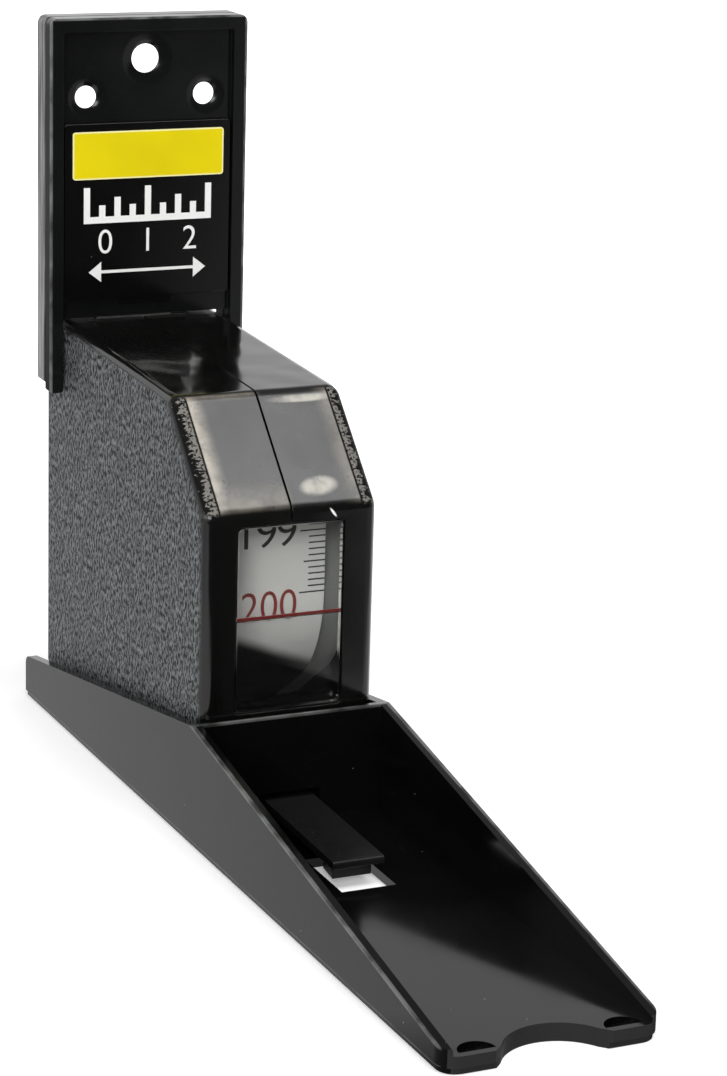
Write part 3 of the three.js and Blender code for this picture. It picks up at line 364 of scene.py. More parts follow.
def case_relief(add, place, grain, grain_mask):
    swell = add("TexNoise", place, 1 / POLISH_WAVE, 0.0)
    wave = add("Bump", inputs={"Height": swell, "Distance": WAVE_HEIGHT, "Strength": 0.3})
    height = add("Math", grain, grain_mask, operation="MULTIPLY")
    inputs = {"Height": height, "Distance": GRAIN_DEPTH, "Strength": 1.0, "Normal": wave}
    return add("Bump", inputs=inputs)


print("depth of the grain, mm:", round(GRAIN_DEPTH / MM, 2))

# %% [markdown]
# The steps above go together in one material. The slope is told from the other polished faces by its
# direction: it looks both up and forward.

# %% Moulded ABS of the case


def slope_area(add, facing, forward):
    up = add("MapRange", facing.outputs["Z"], 0.3, 0.5, **SOFT)
    ahead = add("MapRange", forward, 0.3, 0.5, **SOFT)
    return add("Math", up, ahead, operation="MULTIPLY")


def case_abs():
    material, add, shader, place = new_material("spark_grained_and_polished_abs")
    axes = add("SeparateXYZ", place)
    facing = add("SeparateXYZ", add("TexCoord").outputs["Normal"])
    across = add("Math", axes.outputs["X"], operation="ABSOLUTE")
    forward = add("Math", facing.outputs["Y"], -1.0, operation="MULTIPLY")
    haze = add("TexNoise", place, 1 / HAZE_PATCH, 4.0, 0.6)
    grain = leather_grain(add, place)
    grain_mask = grain_area(add, axes, across)
    crest = add("MapRange", grain, 0.42, 0.58, **SOFT)
    slope = slope_area(add, facing, forward)
    strip_mask = strip_area(add, across, slope)
    teeth = ragged_strip(add, place, across)
    # The slope's colour carries a painted sheen and painted highlights.
    painted_slope = slope_with_painted_light(add, place, axes, across, haze, slope)
    outside = strip_and_chip(add, axes, forward, painted_slope, strip_mask, teeth)
    side = side_colour(add, place, crest)
    colour = add("Mix", grain_mask, outside, side, data_type="RGBA")
    gloss = case_gloss(add, grain_mask, crest, strip_mask, teeth)
    roughness = case_roughness(add, haze, slope, strip_mask, grain_mask)
    set_input(shader.inputs["Specular IOR Level"], gloss)
    finish_material(add, shader, colour, roughness, case_relief(add, place, grain, grain_mask))
    return material


CASE_ABS = case_abs()
print("material:", CASE_ABS.name)

# %% [markdown]
# The arm, the bracket and the latch are satin black ABS with the faint unevenness of moulding, a few
# handling scratches and a little dust. They could share one material, but they differ in tone and
# gloss, so one recipe makes a material for each. It can be given a mask of painted light, where the
# colour turns pale for highlights and lit faces, and a mask of the gloss.

# %% Satin moulded plastic
SCRATCH_LENGTH = 9.0 * MM
SCRATCH_WIDTH = 0.14 * MM
SCRATCH_TURN = (0.4, 0.2, 0.9)
DUST_SPACING = 5.0 * MM
DUST_RADIUS = 0.14 * MM
MOULD_WAVE_HEIGHT = 0.1 * MM
ABS_IOR = 1.5
LOW_GLOSS_IOR = 1.25


def scratches(add, place):
    scale = (1 / SCRATCH_WIDTH, 1 / SCRATCH_LENGTH, 1 / SCRATCH_WIDTH)
    inputs = {"Vector": place, "Rotation": SCRATCH_TURN, "Scale": scale}
    lines = add("TexNoise", add("Mapping", inputs=inputs), 1.0, 0.0)
    return add("MapRange", lines, 0.83, 0.86, **SOFT)


def dust(add, place):
    speck = (DUST_RADIUS / DUST_SPACING, DUST_RADIUS / DUST_SPACING / 2)
    inputs = {"Vector": place, "Scale": 1 / DUST_SPACING, "Randomness": 1.0}
    from_speck = add("TexVoronoi", inputs=inputs).outputs["Distance"]
    return add("MapRange", from_speck, *speck, **SOFT)


def satin_plastic(name, dark, light, roughness_share, ior=ABS_IOR, painted_light=None, gloss=None):
    material, add, shader, place = new_material(name)
    axes = add("SeparateXYZ", place)
    cloud = add("TexNoise", place, 1 / HAZE_PATCH, 2.0, 0.4)
    tone = add("Mix", cloud, linear(dark), linear(light), data_type="RGBA")
    scratched = add("Mix", scratches(add, place), tone, linear("#2a2b2a"), data_type="RGBA")
    colour = add("Mix", dust(add, place), scratched, linear("#8c8c85"), data_type="RGBA")
    # Painted light: the mask makes the colour pale where highlights catch or where faces are lit.
    if painted_light is not None:
        painted_light_mask = painted_light(add, place, axes)
        colour = add("Mix", painted_light_mask, colour, linear("#7e807e"), data_type="RGBA")
    if gloss is not None:
        set_input(shader.inputs["Specular IOR Level"], gloss(add, axes))
    limits = (roughness_share * 0.8, roughness_share * 1.2)
    roughness = add("MapRange", cloud, 0.3, 0.7, *limits)
    swell = add("TexNoise", place, 1 / (2 * HAZE_PATCH), 0.0)
    inputs = {"Height": swell, "Distance": MOULD_WAVE_HEIGHT, "Strength": 0.2}
    wave = add("Bump", inputs=inputs)
    shader.inputs["IOR"].default_value = ior
    finish_material(add, shader, colour, roughness, wave)
    return material


print("dust specks lie apart by mm:", round(DUST_SPACING / MM, 1))

# %% [markdown]
# Light catches the arm's rounded rims, the top of its cross wall and its lower lip in thin lines, and
# it falls on the front faces of its tip and of the notch in it. These are painted highlights and
# painted light: the colour turns paler there. They could be painted by hand, but then they would not
# follow a change of the arm. Here each edge is a distance that is measured on the solid, and noise
# breaks it up.

# %% Painted highlights and painted light on the arm
EDGE_LINE_WIDTH = 0.5 * MM
EDGE_LINE_FADE = 0.25 * MM
arm_low, arm_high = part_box("headpiece_arm")
ARM_LIP_Z = 0.9 * MM
ARM_TIP_Z = 3.4 * MM
ARM_SHOULDER_Y = shell_low.y - 1.5 * MM
ARM_TIP_HALF_WIDTH = 16.4 * MM
TIP_NOTCH_HALF_WIDTH = 8.1 * MM
TIP_NOTCH_DEPTH = 6.0 * MM
TIP_EDGE_DEPTH = 0.8 * MM
TIP_LIGHT_SHARE = 0.11


def near(add, distance):
    rim = (EDGE_LINE_WIDTH, EDGE_LINE_WIDTH - EDGE_LINE_FADE)
    return add("MapRange", distance, *rim, **SOFT)


def patchy(add, place, mask, strongest):
    cloud = add("TexNoise", place, 2 / HAZE_PATCH, 2.0)
    patches = add("MapRange", cloud, 0.35, 0.6, strongest / 4, strongest)
    return add("Math", mask, patches, operation="MULTIPLY")


# Painted light: the forward faces of the tip and of its notch are made paler, as light falls on them.
def lit_tip_faces(add, axes, across):
    facing = add("SeparateXYZ", add("TexCoord").outputs["Normal"])
    forward = add("MapRange", facing.outputs["Y"], 0.0, -0.3, **SOFT)
    from_tip = add("Math", axes.outputs["Y"], arm_low.y, operation="SUBTRACT")
    edge = add("Math", from_tip, TIP_EDGE_DEPTH, operation="LESS_THAN")
    in_depth = add("Math", from_tip, TIP_NOTCH_DEPTH, operation="LESS_THAN")
    in_width = add("Math", across, TIP_NOTCH_HALF_WIDTH, operation="LESS_THAN")
    notch = add("Math", in_depth, in_width, operation="MULTIPLY")
    tip = add("Math", edge, notch, operation="MAXIMUM")
    faces = add("Math", tip, forward, operation="MULTIPLY")
    return add("Math", faces, TIP_LIGHT_SHARE, operation="MULTIPLY")


def arm_side_highlights(add, axes, across):
    rise = (arm_high.z - ARM_TIP_Z) / (ARM_SHOULDER_Y - arm_low.y)
    start = ARM_TIP_Z - arm_low.y * rise
    at_side = near(add, add("Math", ARM_TIP_HALF_WIDTH, across, operation="SUBTRACT"))
    rim = add("Math", axes.outputs["Y"], rise, start, operation="MULTIPLY_ADD")
    below_rim = add("Math", rim, axes.outputs["Z"], operation="SUBTRACT")
    side_rim = add("Math", near(add, below_rim), at_side, operation="MULTIPLY")
    above_lip = add("Math", axes.outputs["Z"], ARM_LIP_Z, operation="SUBTRACT")
    from_lip = add("Math", above_lip, operation="ABSOLUTE")
    at_lip = add("MapRange", from_lip, EDGE_LINE_FADE, 0.0, **SOFT)
    lip = add("Math", at_lip, at_side, operation="MULTIPLY")
    return add("Math", side_rim, lip, operation="MAXIMUM")


# Painted highlights: pale lines along the rims, the top of the cross wall and the lower lip, broken up
# by noise.
def arm_painted_highlights(add, place, axes):
    across = add("Math", axes.outputs["X"], operation="ABSOLUTE")
    behind_wall = add("Math", axes.outputs["Y"], ARM_SHOULDER_Y, operation="SUBTRACT")
    from_wall = add("Math", behind_wall, operation="ABSOLUTE")
    from_top = add("Math", arm_high.z, axes.outputs["Z"], operation="SUBTRACT")
    wall_edge = add("Math", near(add, from_wall), near(add, from_top), operation="MULTIPLY")
    all_edges = add("Math", arm_side_highlights(add, axes, across), wall_edge, operation="MAXIMUM")
    edges = patchy(add, place, all_edges, 0.6)
    return add("Math", edges, lit_tip_faces(add, axes, across), operation="MAXIMUM")


print("length of the arm, mm:", round((arm_high.y - arm_low.y) / MM, 1))

# %% [markdown]
# The bracket's front rim gets a thin painted highlight. The sides of its front layer are dull, most of
# all lower down, and the sides of the rear layer, which lie near the wall, get painted highlights in
# upright streaks.

# %% Painted highlights on the bracket, and where it is dull
STREAK_WIDTH = 0.6 * MM
STREAK_LENGTH = 14.0 * MM
front_low, front_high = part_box("bracket_front_frame")
rear_half_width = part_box("bracket_rear_plate")[1].x


# Painted highlight: a pale line along the front rim's side and top edges.
def front_rim_highlight(add, place, axes):
    across = add("Math", axes.outputs["X"], operation="ABSOLUTE")
    from_side = add("Math", front_high.x, across, operation="SUBTRACT")
    from_top = add("Math", front_high.z, axes.outputs["Z"], operation="SUBTRACT")
    from_front = add("Math", axes.outputs["Y"], front_low.y, operation="SUBTRACT")
    from_rim = add("Math", from_side, from_top, operation="MINIMUM")
    rim = add("Math", near(add, from_rim), near(add, from_front), operation="MULTIPLY")
    return patchy(add, place, rim, 0.8)


def dull_sides(add, axes):
    across = add("Math", axes.outputs["X"], operation="ABSOLUTE")
    from_side = add("Math", front_high.x, across, operation="SUBTRACT")
    side = add("MapRange", from_side, EDGE_LINE_FADE, 0.0, **SOFT)
    left_over = add("MapRange", axes.outputs["Z"], front_low.z, front_high.z, 0.01, 0.05)
    drop = add("Math", left_over, 0.5, operation="SUBTRACT")
    return add("Math", drop, side, 0.5, operation="MULTIPLY_ADD")


# Painted highlights: pale upright streaks on the rear layer's sides.
def rear_side_highlights(add, place, axes):
    across = add("Math", axes.outputs["X"], operation="ABSOLUTE")
    from_side = add("Math", rear_half_width, across, operation="SUBTRACT")
    scale = (1 / STREAK_WIDTH, 1 / STREAK_WIDTH, 1 / STREAK_LENGTH)
    stretched = add("Mapping", inputs={"Vector": place, "Scale": scale})
    streaks = add("TexNoise", stretched, 1.0)
    pale = add("MapRange", streaks, 0.4, 0.6, 0.1, 0.9)
    return add("Math", near(add, from_side), pale, operation="MULTIPLY")


print("height of the bracket's front, mm:", round((front_high.z - front_low.z) / MM, 1))

# %% [markdown]
# Now each moulding gets its own tone, roughness and masks. The arm and the tongue mirror less than
# the bracket, so their refraction index is set lower than that of ABS.

# %% The satin mouldings
# The arm and both bracket layers get painted highlights through their masks.
ARM_PLASTIC = satin_plastic("satin_arm", "#060706", "#0b0c0b", 0.12, LOW_GLOSS_IOR, arm_painted_highlights)
TONGUE_PLASTIC = satin_plastic("satin_tongue", "#141514", "#1b1c1b", 0.3, LOW_GLOSS_IOR)
FRONT_PLASTIC = satin_plastic(
    "satin_front", "#0a0b0b", "#111212", 0.18, ABS_IOR, front_rim_highlight, dull_sides
)
REAR_PLASTIC = satin_plastic("satin_rear", "#070707", "#0d0e0e", 0.2, ABS_IOR, rear_side_highlights)
INNER_PLASTIC = satin_plastic("plain_inner_mouldings", "#7c7e7c", "#8a8c8a", 0.45)
LABEL_PLASTIC = satin_plastic("smooth_label_plate", "#050505", "#090909", 0.13)
print("satin plastics:", ARM_PLASTIC.name, FRONT_PLASTIC.name, REAR_PLASTIC.name)

# %% [markdown]
# Screws, pins and the guide bar are zinc-plated steel, turned on a lathe: bright, with fine turning
# marks. The mainspring is blued spring steel. A metal's colour is its reflection, so only its base
# colour, its roughness and the fine marks differ.

# %% Steel
TURNING_PITCH = 0.25 * MM
TURNING_DEPTH = 0.03 * MM


def steel(name, tone, shade, smoothest, roughest):
    material, add, shader, place = new_material(name)
    marks = add("TexNoise", place, 1 / TURNING_PITCH)
    colour = add("Mix", marks, linear(shade), linear(tone), data_type="RGBA")
    roughness = add("MapRange", marks, 0.0, 1.0, smoothest, roughest)
    inputs = {"Height": marks, "Distance": TURNING_DEPTH, "Strength": 0.15}
    shader.inputs["Metallic"].default_value = 1.0
    finish_material(add, shader, colour, roughness, add("Bump", inputs=inputs))
    return material


ZINC_STEEL = steel("zinc_plated_steel", "#b9bbbd", "#96989a", 0.22, 0.42)
SPRING_STEEL = steel("blued_spring_steel", "#6d7480", "#4b5059", 0.25, 0.4)
print("metals:", ZINC_STEEL.name, SPRING_STEEL.name)

# %% [markdown]
# Print is a thin coat of ink: flat in colour, a little uneven in cover. The same recipe gives the
# white and black marks and the red line. The yellow band has a paler rim, where the ink ran thin.

# %% Printed ink
INK_GRAIN = 0.3 * MM
BAND_RIM = 0.3 * MM
INK_RELIEF = 0.02 * MM


def ink(name, full, thin, roughness):
    material, add, shader, place = new_material(name)
    cover = add("TexNoise", place, 1 / INK_GRAIN)
    colour = add("Mix", cover, linear(thin), linear(full), data_type="RGBA")
    evenness = add("MapRange", cover, 0.0, 1.0, roughness + 0.05, roughness - 0.05)
    inputs = {"Height": cover, "Distance": INK_RELIEF, "Strength": 0.1}
    finish_material(add, shader, colour, evenness, add("Bump", inputs=inputs))
    return material


def from_middle(add, coordinate, middle):
    offset = add("Math", coordinate, middle, operation="SUBTRACT")
    return add("Math", offset, operation="ABSOLUTE")


def band_rim(add, axes):
    middle = (band_low + band_high) / 2
    half = (band_high - band_low) / 2
    rim = (BAND_RIM, BAND_RIM / 2)
    across = from_middle(add, axes.outputs["X"], middle.x)
    along = from_middle(add, axes.outputs["Z"], middle.z)
    to_side = add("Math", half.x, across, operation="SUBTRACT")
    to_top = add("Math", half.z, along, operation="SUBTRACT")
    nearest = add("Math", to_side, to_top, operation="MINIMUM")
    return add("MapRange", nearest, *rim, **SOFT)


def band_ink():
    material, add, shader, place = new_material("yellow_band_ink")
    rim = band_rim(add, add("SeparateXYZ", place))
    patches = add("TexNoise", place, 1 / HAZE_PATCH, 1.0)
    yellow = add("Mix", patches, linear("#d6c400"), linear("#ecd800"), data_type="RGBA")
    colour = add("Mix", rim, yellow, linear("#f5f0b0"), data_type="RGBA")
    cover = add("TexNoise", place, 1 / INK_GRAIN)
    evenness = add("MapRange", cover, 0.0, 1.0, 0.5, 0.4)
    inputs = {"Height": cover, "Distance": INK_RELIEF, "Strength": 0.1}
    shader.inputs["Specular IOR Level"].default_value = 0.15
    finish_material(add, shader, colour, evenness, add("Bump", inputs=inputs))
    return material


YELLOW_INK = band_ink()
WHITE_INK = ink("white_label_ink", "#fbfbf8", "#ececea", 0.5)
RED_LINE_INK = ink("red_index_paint", "#6f1410", "#540d09", 0.4)
RED_TAPE_INK = ink("red_tape_ink", "#8c3833", "#7a2c28", 0.5)
BLACK_TAPE_INK = ink("black_tape_ink", "#1d1e1e", "#2c2d2d", 0.5)
print("inks:", YELLOW_INK.name, WHITE_INK.name, RED_TAPE_INK.name)

# %% [markdown]
# The tape is a white lacquered strip with a tick at each millimetre, drawn by the material from the
# place along Z, which stays true when a stretch of tape grows. Below the tick of the last figure the
# strip is blank. Its lower turn is darkened with painted shade along a slanting edge, standing for the
# shadow inside the case. The wound roll shows the edges of its windings as fine rings instead.

# %% Lacquered tape
TICK_PITCH = 1.0 * MM
TICKS_TO_MIDDLE = 5
TICKS_TO_LONG = 10
TICK_HALF = 0.12 * MM
TICK_ORIGIN_Z = 36.2 * MM
SHORT_TICK_START = 5.2 * MM
MIDDLE_TICK_START = 4.4 * MM
LONG_TICK_START = 3.7 * MM
SHADE_EDGE = 26.6 * MM
SHADE_FADE = 1.4 * MM
SHADE_SLOPE = 0.43
WINDING_PITCH = 0.3 * MM
WINDING_RELIEF = 1.0 * MM
LACQUER_RELIEF = 0.05 * MM


def tick_mask(add, across, along, pitch, start):
    steps = add("Math", along, pitch, operation="DIVIDE")
    nearest_step = add("Math", steps, operation="ROUND")
    nearest = add("Math", nearest_step, pitch, operation="MULTIPLY")
    line = add("Math", from_middle(add, along, nearest), TICK_HALF, operation="LESS_THAN")
    reached = add("Math", across, start, operation="GREATER_THAN")
    return add("Math", line, reached, operation="MULTIPLY")


def printed_ticks(add, across, along):
    short = tick_mask(add, across, along, TICK_PITCH, SHORT_TICK_START)
    middle = tick_mask(add, across, along, TICKS_TO_MIDDLE * TICK_PITCH, MIDDLE_TICK_START)
    long = tick_mask(add, across, along, TICKS_TO_LONG * TICK_PITCH, LONG_TICK_START)
    small = add("Math", short, middle, operation="MAXIMUM")
    ticks = add("Math", small, long, operation="MAXIMUM")
    above_blank = add("Math", along, -TICK_PITCH / 2, operation="GREATER_THAN")
    return add("Math", ticks, above_blank, operation="MULTIPLY")


def tape_lacquer():
    material, add, shader, place = new_material("white_lacquered_tape")
    axes = add("SeparateXYZ", place)
    across = axes.outputs["X"]
    shade_band = (SHADE_EDGE - SHADE_FADE, SHADE_EDGE + SHADE_FADE)
    along = add("Math", axes.outputs["Z"], TICK_ORIGIN_Z, operation="SUBTRACT")
    ticks = printed_ticks(add, across, along)
    wear = add("TexNoise", place, 1 / HAZE_PATCH, 3.0)
    white = add("Mix", wear, linear("#d0d0cd"), linear("#e2e2df"), data_type="RGBA")
    marked = add("Mix", ticks, white, linear("#2c2e2e"), data_type="RGBA")
    # Painted shade: the lower turn turns dark below a slanting edge.
    slant = add("Math", across, SHADE_SLOPE, axes.outputs["Z"], operation="MULTIPLY_ADD")
    lit_part = add("MapRange", slant, *shade_band, **SOFT)
    colour = add("Mix", lit_part, linear("#050505"), marked, data_type="RGBA")
    evenness = add("MapRange", wear, 0.0, 1.0, 0.5, 0.3)
    inputs = {"Height": wear, "Distance": LACQUER_RELIEF, "Strength": 0.2}
    finish_material(add, shader, colour, evenness, add("Bump", inputs=inputs))
    return material


def wound_tape():
    material, add, shader, place = new_material("edges_of_wound_tape")
    axes = add("SeparateXYZ", place)
    groove = (WINDING_PITCH / 8, WINDING_PITCH / 16)
    back = add("Math", axes.outputs["Y"], REEL_AXIS_Y, operation="SUBTRACT")
    up = add("Math", axes.outputs["Z"], REEL_AXIS_Z, operation="SUBTRACT")
    back_squared = add("Math", back, 2.0, operation="POWER")
    up_squared = add("Math", up, 2.0, operation="POWER")
    squares = add("Math", back_squared, up_squared, operation="ADD")
    radius = add("Math", squares, operation="SQRT")
    turn = add("Math", radius, WINDING_PITCH / 2, operation="PINGPONG")
    gap = add("MapRange", turn, *groove, **SOFT)
    colour = add("Mix", gap, linear("#c6c6c3"), linear("#4a4c4b"), data_type="RGBA")
    roughness = add("MapRange", gap, 0.0, 1.0, 0.4, 0.7)
    inputs = {"Height": turn, "Distance": WINDING_RELIEF, "Strength": 0.2}
    finish_material(add, shader, colour, roughness, add("Bump", inputs=inputs))
    return material


TAPE_LACQUER = tape_lacquer()
WOUND_TAPE = wound_tape()
print("materials:", TAPE_LACQUER.name, WOUND_TAPE.name)

# %% [markdown]
# The pane is clear acrylic. Light that only passes through on its way to the tape is let through
# unbent, as the thin flat pane hardly bends it and the shadow stays clean; the eye sees the real gloss.

# %% Clear acrylic
ACRYLIC_IOR = 1.49


def clear_acrylic():
    material, add, shader, place = new_material("clear_acrylic_pane")
    smear = add("TexNoise", place, 1 / HAZE_PATCH, 3.0)
    shader.inputs["Base Color"].default_value = linear("#f5f5f4")
    shader.inputs["IOR"].default_value = ACRYLIC_IOR
    shader.inputs["Transmission Weight"].default_value = 1.0
    set_input(shader.inputs["Roughness"], add("MapRange", smear, 0.0, 1.0, 0.0, 0.06))
    passing = add("BsdfTransparent", linear("#f5f5f4"))
    in_shadow = add("LightPath").outputs["Is Shadow Ray"]
    mixed = add("MixShader", in_shadow, shader, passing)
    add("OutputMaterial", mixed)
    return material


ACRYLIC = clear_acrylic()
print("material:", ACRYLIC.name)

# %% [markdown]
# The solids have crisp edges, but a moulded edge is never sharp: the mould itself is rounded there, and
# it is that thin rounding which catches the light. So the visible mouldings are copied, their loose
# triangles merged back into faces, and the edges between faces are rounded with a bevel.

# %% Copies of the solids with rounded edges
FLAT_ANGLE = math.radians(2)
SMOOTH_ANGLE = math.radians(38)
BEVEL_SEGMENTS = 3
MERGE_DISTANCE = 0.002 * MM
ARM_ROUNDING = 0.42 * MM
PLATE_ROUNDING = 0.3 * MM
THIN_ROUNDING = 0.12 * MM


def finish_mesh(obj, material):
    obj.data.materials.clear()
    obj.data.materials.append(material)
    obj.data.shade_smooth()
    obj.data.set_sharp_from_angle(angle=SMOOTH_ANGLE)
    modifier = obj.modifiers.new("face_weighted_shading", "WEIGHTED_NORMAL")
    modifier.keep_sharp = True
    modifier.weight = 100


def object_from(bm, name, body):
    mesh = bpy.data.meshes.new(name)
    bm.to_mesh(mesh)
    bm.free()
    obj = bpy.data.objects.new(name, mesh)
    bpy.context.scene.collection.objects.link(obj)
    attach(obj, body)
    return obj


def merged_copy(node):
    bm = bmesh.new()
    bm.from_mesh(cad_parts[node].data)
    bmesh.ops.remove_doubles(bm, verts=bm.verts, dist=MERGE_DISTANCE)
    bmesh.ops.dissolve_limit(bm, angle_limit=FLAT_ANGLE, verts=bm.verts, edges=bm.edges)
    return bm


def rounded_copy(node, body, radius, material, edge_angle=SMOOTH_ANGLE):
    bm = merged_copy(node)
    sharp = [e for e in bm.edges if e.is_manifold and e.calc_face_angle(0) > edge_angle]
    bmesh.ops.bevel(
        bm,
        geom=sharp,
        offset=radius,
        offset_type="OFFSET",
        affect="EDGES",
        segments=BEVEL_SEGMENTS,
        profile=0.5,
        material=-1,
        clamp_overlap=True,
    )
    obj = object_from(bm, node + "_moulding", body)
    finish_mesh(obj, material)
    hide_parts(node)
    return obj


arm = rounded_copy("headpiece_arm", "case", ARM_ROUNDING, ARM_PLASTIC)
rounded_copy("latch_tongue", "latch", THIN_ROUNDING, TONGUE_PLASTIC)
rounded_copy("bracket_rear_plate", "bracket", PLATE_ROUNDING, REAR_PLASTIC)
rounded_copy("bracket_front_frame", "bracket", PLATE_ROUNDING, FRONT_PLASTIC)
rounded_copy("label_plate", "bracket", THIN_ROUNDING, LABEL_PLASTIC)
left_shell = rounded_copy("case_left_shell", "case", THIN_ROUNDING, CASE_ABS)
rounded_copy("case_right_shell", "case", THIN_ROUNDING, CASE_ABS)
rounded_copy("window_pane", "case", THIN_ROUNDING, ACRYLIC)
print("arm faces:", len(arm.data.polygons), "shell faces:", len(left_shell.data.polygons))

# %% [markdown]
# The other solids are hidden, or so small that a rounded edge would not show. They could be copied
# and rounded too, but their shape is right already, so they keep it and only get their material.

# %% Materials on the small solids
SMALL_SOLIDS = {
    "index_line": RED_LINE_INK,
    "tape_guide": INNER_PLASTIC,
    "guide_bar": ZINC_STEEL,
    "reel_axle": ZINC_STEEL,
    "latch_pin": ZINC_STEEL,
    "tape_end_pin": ZINC_STEEL,
    "case_screw_front_bottom": ZINC_STEEL,
    "case_screw_rear_bottom": ZINC_STEEL,
    "case_screw_rear_top": ZINC_STEEL,
    "case_screw_front_top": ZINC_STEEL,
    "bracket_screw_left": ZINC_STEEL,
    "bracket_screw_right": ZINC_STEEL,
    "bracket_screw_top": ZINC_STEEL,
    "mainspring": SPRING_STEEL,
    "reel_hub": INNER_PLASTIC,
    "reel_flange_left": INNER_PLASTIC,
    "reel_flange_right": INNER_PLASTIC,
    "label_band": YELLOW_INK,
}
for name, material in SMALL_SOLIDS.items():
    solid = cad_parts[name]
    solid.data.materials.clear()
    solid.data.materials.append(material)
print("small solids:", len(SMALL_SOLIDS))

# %% [markdown]
# The tape behind the window goes down, round under the reel and up at the rear. It, the roll and the
# tape's end in the bracket keep the solids' shape, with their triangles merged back into faces. The
# path could be drawn again as a curve, but the solids follow it already.

# %% The tape in the case


def plain_tape(node, body, material):
    obj = object_from(merged_copy(node), node + "_strip", body)
    finish_mesh(obj, material)
    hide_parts(node)
    return obj


tape_strips = [
    plain_tape("tape_run", "case", TAPE_LACQUER),
    plain_tape("tape_roll", "reel", WOUND_TAPE),
    plain_tape("tape_end_tab", "bracket", TAPE_LACQUER),
]
print("tape strips:", len(tape_strips))

# %% [markdown]
# The stretch of tape that leaves the case is only a few millimetres at rest. When the bracket and the
# case part, it has to grow. Scaling the object would do that, but would stretch the ticks with it. So
# it is a strip with many cross cuts along its length.

# %% The stretch that grows
LEAD_CUTS = 12
SHORTEST_RISE = 1.0 * MM


def tape_lead():
    bm = merged_copy("tape_lead")
    rising = [e for e in bm.edges if abs(e.verts[0].co.z - e.verts[1].co.z) > SHORTEST_RISE]
    bmesh.ops.subdivide_edges(bm, edges=rising, cuts=LEAD_CUTS, use_grid_fill=True)
    mesh = bpy.data.meshes.new("tape_lead_strip")
    bm.to_mesh(mesh)
    bm.free()
    obj = bpy.data.objects.new("tape_lead_strip", mesh)
    bpy.context.scene.collection.objects.link(obj)
    finish_mesh(obj, TAPE_LACQUER)
    obj.modifiers.clear()
    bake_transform(obj)
    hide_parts("tape_lead")
    return obj


lead_strip = tape_lead()
print("lead strip points:", len(lead_strip.data.vertices))

# %% [markdown]
# The figures on the tape and the marks on the label are print, so they are thin flat pieces lying on
# what they are printed on. Figures come from a text object that is turned into a mesh at once.

# %% Printed figures
PRINT_THICKNESS = 0.03 * MM
PRINT_LIFT = 0.02 * MM
THINNER_STROKE_SHARE = 0.006
TIGHT_SPACING_SHARE = 0.88


def printed_text(name, text, height, width, centre, surface_y, body, material, spacing_share=1):
    curve = bpy.data.curves.new(name, "FONT")
    curve.body = text
    curve.space_character = spacing_share
    curve.align_x = "CENTER"
    curve.align_y = "CENTER"
    curve.offset = -THINNER_STROKE_SHARE
    curve.extrude = PRINT_THICKNESS / 2
    maker = bpy.data.objects.new(name + "_maker", curve)
    bpy.context.scene.collection.objects.link(maker)
    bpy.context.view_layer.update()
    mesh = bpy.data.meshes.new_from_object(maker.evaluated_get(bpy.context.evaluated_depsgraph_get()))
    bpy.data.objects.remove(maker)
    low = Vector([min(v.co[i] for v in mesh.vertices) for i in range(3)])
    high = Vector([max(v.co[i] for v in mesh.vertices) for i in range(3)])
    middle = (low + high) / 2
    scale_x = width / (high.x - low.x)
    scale_z = height / (high.y - low.y)
    for vertex in mesh.vertices:
        across = (vertex.co.x - middle.x) * scale_x
        up = (vertex.co.y - middle.y) * scale_z
        out = PRINT_LIFT + PRINT_THICKNESS / 2 + vertex.co.z
        vertex.co = Vector((centre[0] + across, surface_y - out, centre[1] + up))
    obj = bpy.data.objects.new(name, mesh)
    bpy.context.scene.collection.objects.link(obj)
    mesh.materials.clear()
    mesh.materials.append(material)
    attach(obj, body)
    return obj


FIGURE_HEIGHT = 4.8 * MM
FIGURE_200_RISE = -1.65 * MM
FIGURE_199_RISE = 10.2 * MM
FIGURE_200_WIDTH = 9.2 * MM
FIGURE_199_WIDTH = 8.7 * MM
FIGURE_CENTRE_X = -1.3 * MM
printed_text(
    "tape_figure_200",
    "200",
    FIGURE_HEIGHT,
    FIGURE_200_WIDTH,
    (FIGURE_CENTRE_X, TICK_ORIGIN_Z + FIGURE_200_RISE),
    TAPE_FRONT,
    "case",
    RED_TAPE_INK,
)
printed_text(
    "tape_figure_199",
    "199",
    FIGURE_HEIGHT,
    FIGURE_199_WIDTH,
    (FIGURE_CENTRE_X, TICK_ORIGIN_Z + FIGURE_199_RISE),
    TAPE_FRONT,
    "case",
    BLACK_TAPE_INK,
    TIGHT_SPACING_SHARE,
)
print("tick of the last figure, mm:", round(TICK_ORIGIN_Z / MM, 1))

# %% [markdown]
# The label shows a small scale, plain figures under it and a double arrow, all in white. They could
# be a picture on the plate, but flat pieces stay sharp from close by and need no picture file.

# %% Marks on the label
SCALE_HALF_WIDTH = 11.3 * MM
SCALE_BOTTOM = 84.7 * MM
SCALE_TOP = 90.7 * MM
SCALE_TICKS = 9
MIDDLE_TICK_SHARE = 0.72
SHORT_TICK_SHARE = 0.5
SCALE_TICK_WIDTH = 1.1 * MM
FIGURE_ROW = 81.6 * MM
FIGURE_ROW_HEIGHT = 4.0 * MM
FIGURE_ROW_WIDTH = 17.4 * MM
ARROW_ROW = 76.5 * MM
ARROW_HALF_WIDTH = 10.4 * MM
ARROW_LINE = 0.5 * MM
ARROW_HEAD = 1.7 * MM
ARROW_HEAD_LENGTH = 2.2 * MM


